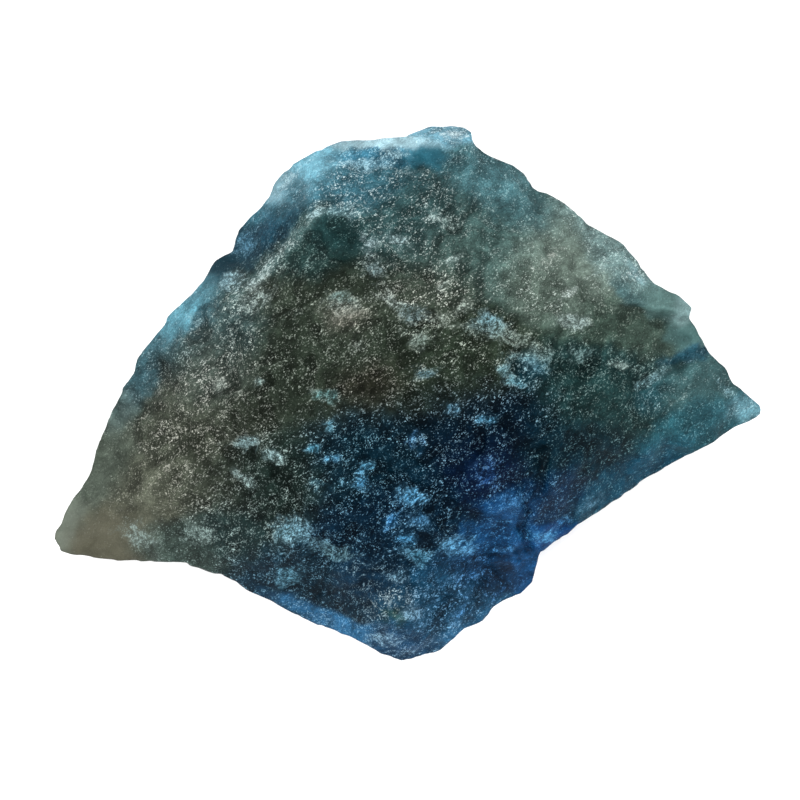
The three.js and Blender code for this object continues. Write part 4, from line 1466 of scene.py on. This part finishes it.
    def haze(self, add: AddNode, found: SaltPatterns) -> Socket:
        """Shows clouds where noise is above a bar, which sinks as the mist grows, so they fray.

        Args:
            add: Adds a node to the material.
            found: The patterns.

        Returns:
            0 where there is no cloud and 1 where it is full.
        """
        start = add(NodeKind.MATH, (found.layers[Layer.MIST], *self.cloud_start), **TIMES_PLUS)
        full = add(NodeKind.MATH, (start, self.cloud_fray), **PLUS)
        return add(NodeKind.RANGE, (found.cloud, start, full, 0, 1), **SMOOTH)

    def clouded(self, add: AddNode, found: SaltPatterns, ground: Socket, haze: Socket) -> Socket:
        """Lays the clouds over the ground, with a cottony and crumbly grain.

        Args:
            add: Adds a node to the material.
            found: The patterns.
            ground: The ground's colour.
            haze: How full the clouds are.

        Returns:
            The colour of ground and clouds.
        """
        cottony = add(NodeKind.RANGE, (found.cotton, *self.cotton_cover), **SMOOTH)
        cover = add(NodeKind.MATH, (haze, cottony), **TIMES)
        crumbly = add(NodeKind.RANGE, (found.crumbs, *self.crumb_cover))
        cover = add(NodeKind.MATH, (cover, crumbly), **TIMES)
        cloud = found.layers[Layer.CLOUD]
        return add(NodeKind.MIX, {FACTOR: cover, UNDER: ground, OVER: cloud}, **BLEND)

    def packing(self, add: AddNode, found: SaltPatterns, haze: Socket) -> Socket:
        """Gives how thick the crumbs lie: in clusters and clouds, and along lace lines.

        A lace line lies where noise passes its middle value, and finer noise breaks it up.

        Args:
            add: Adds a node to the material.
            found: The patterns.
            haze: How full the clouds are.

        Returns:
            The packing, 0 where the salt is bare.
        """
        packed = add(NodeKind.RANGE, (found.cluster, *self.cluster_packing), **SMOOTH)
        packed = add(NodeKind.MATH, (packed, found.layers[Layer.SHARE]), **TIMES)
        packed = add(NodeKind.MATH, (haze, self.cloud_packing, packed), **TIMES_PLUS)
        tufted = add(NodeKind.RANGE, (found.cotton, *self.cotton_packing), **SMOOTH)
        packed = add(NodeKind.MATH, (packed, tufted), **TIMES)
        off_line = add(NodeKind.MATH, (found.lace, self.lace_middle), **LESS)
        off_line = add(NodeKind.MATH, (off_line,), **ABSOLUTE)
        line = add(NodeKind.RANGE, (off_line, *self.lace_line), **SMOOTH)
        broken = add(NodeKind.RANGE, (found.grain, *self.lace_breaks), **SMOOTH)
        line = add(NodeKind.MATH, (line, broken), **TIMES)
        line = add(NodeKind.MATH, (line, *self.lace_packing), **TIMES_PLUS)
        return add(NodeKind.MATH, (line, packed), **TIMES)

    def lit(self, add: AddNode, found: SaltPatterns, packed: Socket) -> Socket:
        """Paints glints on crumbs whose chance value is above a bar, which sinks as packing grows.

        Args:
            add: Adds a node to the material.
            found: The patterns.
            packed: How thick the crumbs lie.

        Returns:
            0 for a dark crumb and 1 for one that is fully lit.
        """
        start = add(NodeKind.MATH, (packed, *self.crumb_start), **TIMES_PLUS)
        full = add(NodeKind.MATH, (start, self.crumb_fade), **PLUS)
        return add(NodeKind.RANGE, (found.crumbs, start, full, 0, 1))

    def glint(self, add: AddNode, found: SaltPatterns, haze: Socket) -> Socket:
        """Gives the painted glints' colour: the zone's own, and a brighter cloud colour in clouds.

        Args:
            add: Adds a node to the material.
            found: The patterns.
            haze: How full the clouds are.

        Returns:
            The colour.
        """
        brighter = (self.cloud_glint,) * 3 + (1,)
        cloud = found.layers[Layer.CLOUD]
        sparkle = add(NodeKind.MIX, {FACTOR: 1, UNDER: cloud, OVER: brighter}, **TINT)
        glint = found.layers[Layer.GLINT]
        return add(NodeKind.MIX, {FACTOR: haze, UNDER: glint, OVER: sparkle}, **BLEND)

    def shine(self, add: AddNode, found: SaltPatterns, lit: Socket) -> Socket:
        """Gives the roughness: smoother where the salt is calm, and smoothest on lit crumbs.

        Args:
            add: Adds a node to the material.
            found: The patterns.
            lit: How lit the crumbs are.

        Returns:
            The roughness.
        """
        by_calm = (found.layers[Layer.CALM], 0, 1, self.roughness, self.calm_roughness)
        rough = add(NodeKind.RANGE, by_calm)
        polish = self.grain_roughness - self.roughness
        return add(NodeKind.MATH, (lit, polish, rough), **TIMES_PLUS)

    def bumps(self, add: AddNode, found: SaltPatterns) -> Socket:
        """Raises fine bumps by the mottling and the grain, flatter where the salt is calm.

        Args:
            add: Adds a node to the material.
            found: The patterns.

        Returns:
            The bumpy normal.
        """
        uneven = (found.mottle, self.mottle_bump, found.grain)
        height = add(NodeKind.MATH, uneven, **TIMES_PLUS)
        flattened = add(NodeKind.RANGE, (found.layers[Layer.CALM], 0, 1, 1, self.calm_bump))
        height = add(NodeKind.MATH, (height, flattened), **TIMES)
        return add(NodeKind.BUMP, {"Strength": 1, "Distance": self.bump_depth, "Height": height})

    def material(self) -> bpy.types.Material:
        """Builds the material: the ground, with clouds over it and painted glints over both.

        Light passes only near the rim, by the edge layer, through a body that takes up light.

        Returns:
            The finished material.
        """
        material = bpy.data.materials.new("Halite, massive and sugary, broken")
        material.use_nodes = True
        tree = material.node_tree
        tree.nodes.clear()
        add = partial(add_node, tree)
        found = self.patterns(add)
        ground = self.ground(add, found)
        haze = self.haze(add, found)
        clouded = self.clouded(add, found, ground, haze)
        lit = self.lit(add, found, self.packing(add, found, haze))
        glint = self.glint(add, found, haze)
        # Painted glints: lit crumbs in the glint colour over the ground and clouds
        color = add(NodeKind.MIX, {FACTOR: lit, UNDER: clouded, OVER: glint}, **BLEND)
        rough = self.shine(add, found, lit)
        bump = self.bumps(add, found)
        clear = add(NodeKind.MATH, (found.layers[Layer.EDGE], self.edge_transmission), **TIMES)
        surface = add(NodeKind.PRINCIPLED, {
            "Base Color": color,
            "Roughness": rough,
            "Normal": bump,
            "IOR": self.ior,
            "Specular IOR Level": self.specular,
            "Transmission Weight": clear,
        })
        body = {"Color": linear(self.body_color), "Density": self.body_density}
        inside = add(NodeKind.VOLUME, body)
        add(NodeKind.OUTPUT, {"Surface": surface, "Volume": inside})
        return material


# The studio


@dataclass(frozen=True)
class PaperSweep:
    """A plain matt paper floor."""

    size: float = 3.0
    color: str = "#f6f6f6"
    roughness: float = 0.9

    def build(self) -> bpy.types.Object:
        """Builds the floor as one large square under the lump.

        Returns:
            The floor.
        """
        half = self.size / 2
        mesh = bpy.data.meshes.new("paper_floor")
        corners = [(-half, -half, 0), (half, -half, 0), (half, half, 0), (-half, half, 0)]
        mesh.from_pydata(corners, [], [(0, 1, 2, 3)])
        material = bpy.data.materials.new("Paper, matt white")
        material.use_nodes = True
        shader = material.node_tree.nodes["Principled BSDF"]
        shader.inputs["Base Color"].default_value = linear(self.color)
        shader.inputs["Roughness"].default_value = self.roughness
        mesh.materials.append(material)
        floor = bpy.data.objects.new("paper_floor", mesh)
        bpy.context.scene.collection.objects.link(floor)
        return floor


@dataclass(frozen=True)
class Softbox:
    """A square soft light that shines at the lump: where it stands, its size and its power."""

    name: str
    azimuth: float
    elevation: float
    power: float
    size: float = 0.5
    distance: float = 0.75
    color: str = "#ffffff"

    def build(self) -> None:
        """Adds the light."""
        light = bpy.data.lights.new(self.name, "AREA")
        light.shape = "SQUARE"
        light.size = self.size
        light.energy = self.power
        light.color = linear(self.color)[:3]
        box = bpy.data.objects.new(self.name, light)
        turn, rise = math.radians(self.azimuth), math.radians(self.elevation)
        box.location = (
            self.distance * math.cos(rise) * math.sin(turn),
            self.distance * math.cos(rise) * math.cos(turn),
            self.distance * math.sin(rise),
        )
        box.rotation_euler = (math.pi / 2 - rise, 0, math.pi - turn)
        bpy.context.scene.collection.objects.link(box)


SOFTBOXES = (
    Softbox("upper left softbox", -50, 48, 5.6),
    Softbox("upper right softbox", 45, 45, 4.2),
    Softbox("lower left softbox", -135, 42, 4.2),
    Softbox("lower right softbox", 135, 42, 4.2),
)
SKY_COLOR = "#ffffff"
SKY_STRENGTH = 0.43


@dataclass(frozen=True)
class OverheadCamera:
    """A camera that looks straight down on the lump, with its left tip at the left.

    Its view is so wide at the height of the rim, and its middle lies beside the lump's middle by
    the aim.
    """

    lens: float = 400.0
    film: float = 36.0
    view_width: float = 0.1122
    rim_height: float = 0.018
    aim: Place = (-0.00105, -0.0009)
    nearest: float = 0.01

    def build(self) -> None:
        """Adds the camera and makes it the scene's own."""
        data = bpy.data.cameras.new("overhead camera")
        data.lens = self.lens
        data.sensor_width = self.film
        data.clip_start = self.nearest
        camera = bpy.data.objects.new("overhead camera", data)
        above = self.view_width * self.lens / self.film
        camera.location = (*self.aim, self.rim_height + above)
        bpy.context.scene.collection.objects.link(camera)
        bpy.context.scene.camera = camera


def build_studio() -> None:
    """Builds the floor, the lights, the dim sky and the camera."""
    PaperSweep().build()
    for softbox in SOFTBOXES:
        softbox.build()
    world = bpy.data.worlds.new("dim white studio")
    world.use_nodes = True
    sky = world.node_tree.nodes["Background"]
    sky.inputs["Color"].default_value = linear(SKY_COLOR)
    sky.inputs["Strength"].default_value = SKY_STRENGTH
    bpy.context.scene.world = world
    bpy.context.scene.view_settings.view_transform = "Standard"
    OverheadCamera().build()


def main() -> None:
    """Builds the lump and the studio, and reports each piece."""
    logging.basicConfig(level=logging.INFO)
    lump = RockSaltLump().build()
    LOG.info("%s: %d faces", lump.name, len(lump.data.polygons))
    build_studio()
    LOG.info("studio: %d softboxes", len(SOFTBOXES))


if __name__ == "__main__":
    main()
